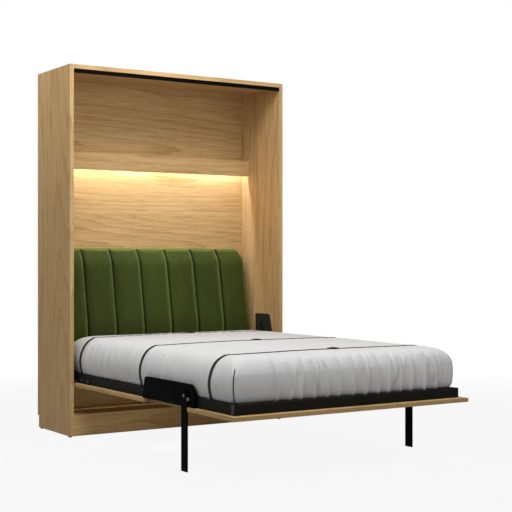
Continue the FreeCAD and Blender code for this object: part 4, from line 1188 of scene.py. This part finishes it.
class WALLBED_OT_steelwork(bpy.types.Operator):
    """Finish the frame, hinges, struts, legs and slats"""

    bl_idname = "wall_bed.steelwork"
    bl_label = "Steelwork"

    def execute(self, context):
        def pair(*names):
            return [f"{name}_{side}" for name in names for side in ("left", "right")]

        rails = ["foot_rail", "head_rail", "centre_rail", "cross_rails", "bracket_screws"]
        rails += pair("side_rail", "swing_arm", "strut_cylinder")
        # The frame's one black powder coat in three tones: the hinge plates' paler tone is painted light and
        # the legs' darker tone is painted shade, each set for how the light falls on that part
        dress(rails, coated_steel("rail_coat", (0.0155, 0.015, 0.0125)))
        dress(pair("hinge_bracket"), coated_steel("plate_coat_painted_light", (0.029, 0.029, 0.024)))
        dress(pair("leg_bracket", "leg"), coated_steel("leg_coat_painted_shade", (0.0012, 0.0012, 0.0013), 0.7))
        dress(pair("strut_rod"), bare_metal("polished_rod", (0.75, 0.75, 0.76), 0.12))
        dress(["leg_bolts", "arm_bolts"], bare_metal("dark_zinc", (0.17, 0.17, 0.18), 0.5))
        dress(["pivot_pins", "strut_stubs", "door_screws"], bare_metal("zinc", (0.62, 0.62, 0.60), 0.32, 0.1))
        dress(["pivot_bushes"], bare_metal("bush_brass", (0.72, 0.52, 0.22), 0.3))
        plastic = moulded("black_plastic", (0.005, 0.005, 0.005), 0.5)
        dress(["rail_end_caps", "slat_holders", "strap_buckles", "strap_anchors"], plastic)
        dress(pair("leg_pad"), moulded("black_rubber", (0.014, 0.014, 0.014), 0.7))
        dress(["slats"], plain_wood("bent_beech", (0.70, 0.52, 0.33), (0.55, 0.37, 0.2), 0.0015))
        dress(["door_panel"], oak("oak_door", 1, (0.8, 0.2, 0.0), 1.1))
        return {"FINISHED"}


class WALLBED_OT_shelf_light(bpy.types.Operator):
    """Light the lamp under the shelf"""

    bl_idname = "wall_bed.shelf_light"
    bl_label = "Shelf light"

    def execute(self, context):
        chosen = settings()
        glow = tuple(chosen.lamp_colour)
        dress(["light_channel"], bare_metal("channel_aluminium", (0.78, 0.78, 0.78), 0.35, 0.1))
        dress(["light_strip"], lamp_board("lamp_board"))
        dress(["light_cover"], lamp_cover("lamp_cover", glow))
        low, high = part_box("light_cover")
        lamp = flat_lamp("shelf_lamp", high.x - low.x, high.y - low.y, chosen.lamp_power, glow)
        lamp.location = (0.0, (low.y + high.y) / 2, low.z - 0.001)
        return {"FINISHED"}


class WALLBED_OT_headboard(bpy.types.Operator):
    """Make the channelled velvet headboard"""

    bl_idname = "wall_bed.headboard"
    bl_label = "Headboard"

    def execute(self, context):
        colour = tuple(settings().velvet_colour)
        green = velvet("green_velvet", colour)
        # The piping's velvet is a paler copy of the headboard's: a painted highlight where its round top
        # catches the light
        paler = velvet("green_piping_highlit", (0.098, 0.122, 0.035), seams=False)
        body = body_of("headboard_cushion")
        points, faces, sewn = headboard_mesh()
        cushion = new_mesh_piece("headboard_padding", (points, faces), green, body)
        swell(cushion, sewn, HEADBOARD_LOW.y - SWELL_PROUD)
        refine(cushion)
        mark_seam_shade_and_rim_light(cushion)
        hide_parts("headboard_cushion")
        half = HEADBOARD_HIGH.x
        for number in range(1, CHANNELS):
            path = seam_path(-half + 2 * half * number / CHANNELS)
            tube = swept_tube(path, PIPING_RADIUS, PIPING_SIDES)
            piping = new_mesh_piece(f"headboard_piping_{number}", tube, paler, body)
        return {"FINISHED"}


class WALLBED_OT_mattress(bpy.types.Operator):
    """Make the mattress in its gathered cover"""

    bl_idname = "wall_bed.mattress"
    bl_label = "Mattress"

    def execute(self, context):
        cover = Mattress()
        cloth = cotton("white_cotton", tuple(settings().cloth_colour))
        body = body_of("mattress")
        piece = new_mesh_piece("mattress_cover", mattress_mesh(cover), cloth, body)
        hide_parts("mattress")
        # Each corner's cord is partly a real dark cord and partly painted shade of the groove beside it
        dark = elastic("corner_cord_and_groove_shade")
        for side in range(4):
            lengths = [PROFILE_RUN * (CORD_LOW + CORD_RUN * step / 39) for step in range(40)]
            path = [cover.on_side(side, -1.0, length, CORD_PROUD) for length in lengths]
            tube = swept_tube(path, CORD_RADIUS, CORD_SIDES, 0.8)
            seam = new_mesh_piece(f"mattress_seam_{side + 1}", tube, dark, body)
            add_run(seam, path, CORD_SIDES)
        return {"FINISHED"}


class WALLBED_OT_straps(bpy.types.Operator):
    """Make the elastic straps and their slides"""

    bl_idname = "wall_bed.straps"
    bl_label = "Straps"

    def execute(self, context):
        cover = Mattress()
        band = elastic("black_elastic")
        moulded_black = moulded("slide_plastic", (0.010, 0.010, 0.010), 0.42)
        low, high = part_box("strap_buckles")
        middle = (low.x + high.x) / 2
        for name in STRAPS:
            y = strap_place(name)
            path = strap_path(cover, y, STRAP_THICKNESS / 2 + STRAP_CLEAR)
            shape = swept_band(path, STRAP_HALF, STRAP_THICKNESS)
            strap = new_mesh_piece(f"{name}_band", shape, band, body_of(name))
            add_run(strap, path, len(BAND_RING))
            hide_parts(name)
            top = cover.top_height(middle, y) + STRAP_THICKNESS + SLIDE_CLEAR
            slide_buckle(f"{name}_slide", Vector((middle, y, top)), moulded_black)
            loop = []
            for step in range(25):
                share = step / 24
                arch = math.sin(math.pi * share) ** 0.6
                x = middle - LOOP_LONG / 2 + LOOP_LONG * share
                loop.append((Vector((x, y, top + 0.0005 + LOOP_RISE * arch)), UP))
            shape = swept_band(loop, STRAP_HALF * 0.84, STRAP_THICKNESS)
            tail = new_mesh_piece(f"{name}_loop", shape, band, body_of(name))
            add_run(tail, loop, len(BAND_RING))
        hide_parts("strap_buckles")
        return {"FINISHED"}


class WALLBED_PT_panel(bpy.types.Panel):
    """The wall bed's settings and steps"""

    bl_idname = "WALLBED_PT_panel"
    bl_label = "Wall Bed"
    bl_space_type = "VIEW_3D"
    bl_region_type = "UI"
    bl_category = "Wall Bed"

    def draw(self, context):
        chosen = settings()
        for key in WallBedSettings.__annotations__:
            self.layout.prop(chosen, key)
        for step in STEPS:
            self.layout.operator(step.bl_idname)


STEPS = (WALLBED_OT_stage, WALLBED_OT_cabinet, WALLBED_OT_steelwork, WALLBED_OT_shelf_light,
         WALLBED_OT_headboard, WALLBED_OT_mattress, WALLBED_OT_straps)


def register():
    for item in (WallBedSettings, *STEPS, WALLBED_PT_panel):
        bpy.utils.register_class(item)
    bpy.types.Scene.wall_bed = PointerProperty(type=WallBedSettings)


def unregister():
    del bpy.types.Scene.wall_bed
    for item in reversed((WallBedSettings, *STEPS, WALLBED_PT_panel)):
        bpy.utils.unregister_class(item)


def main():
    register()
    for step in STEPS:
        group, name = step.bl_idname.split(".")
        getattr(getattr(bpy.ops, group), name)()


if __name__ == "__main__":
    main()
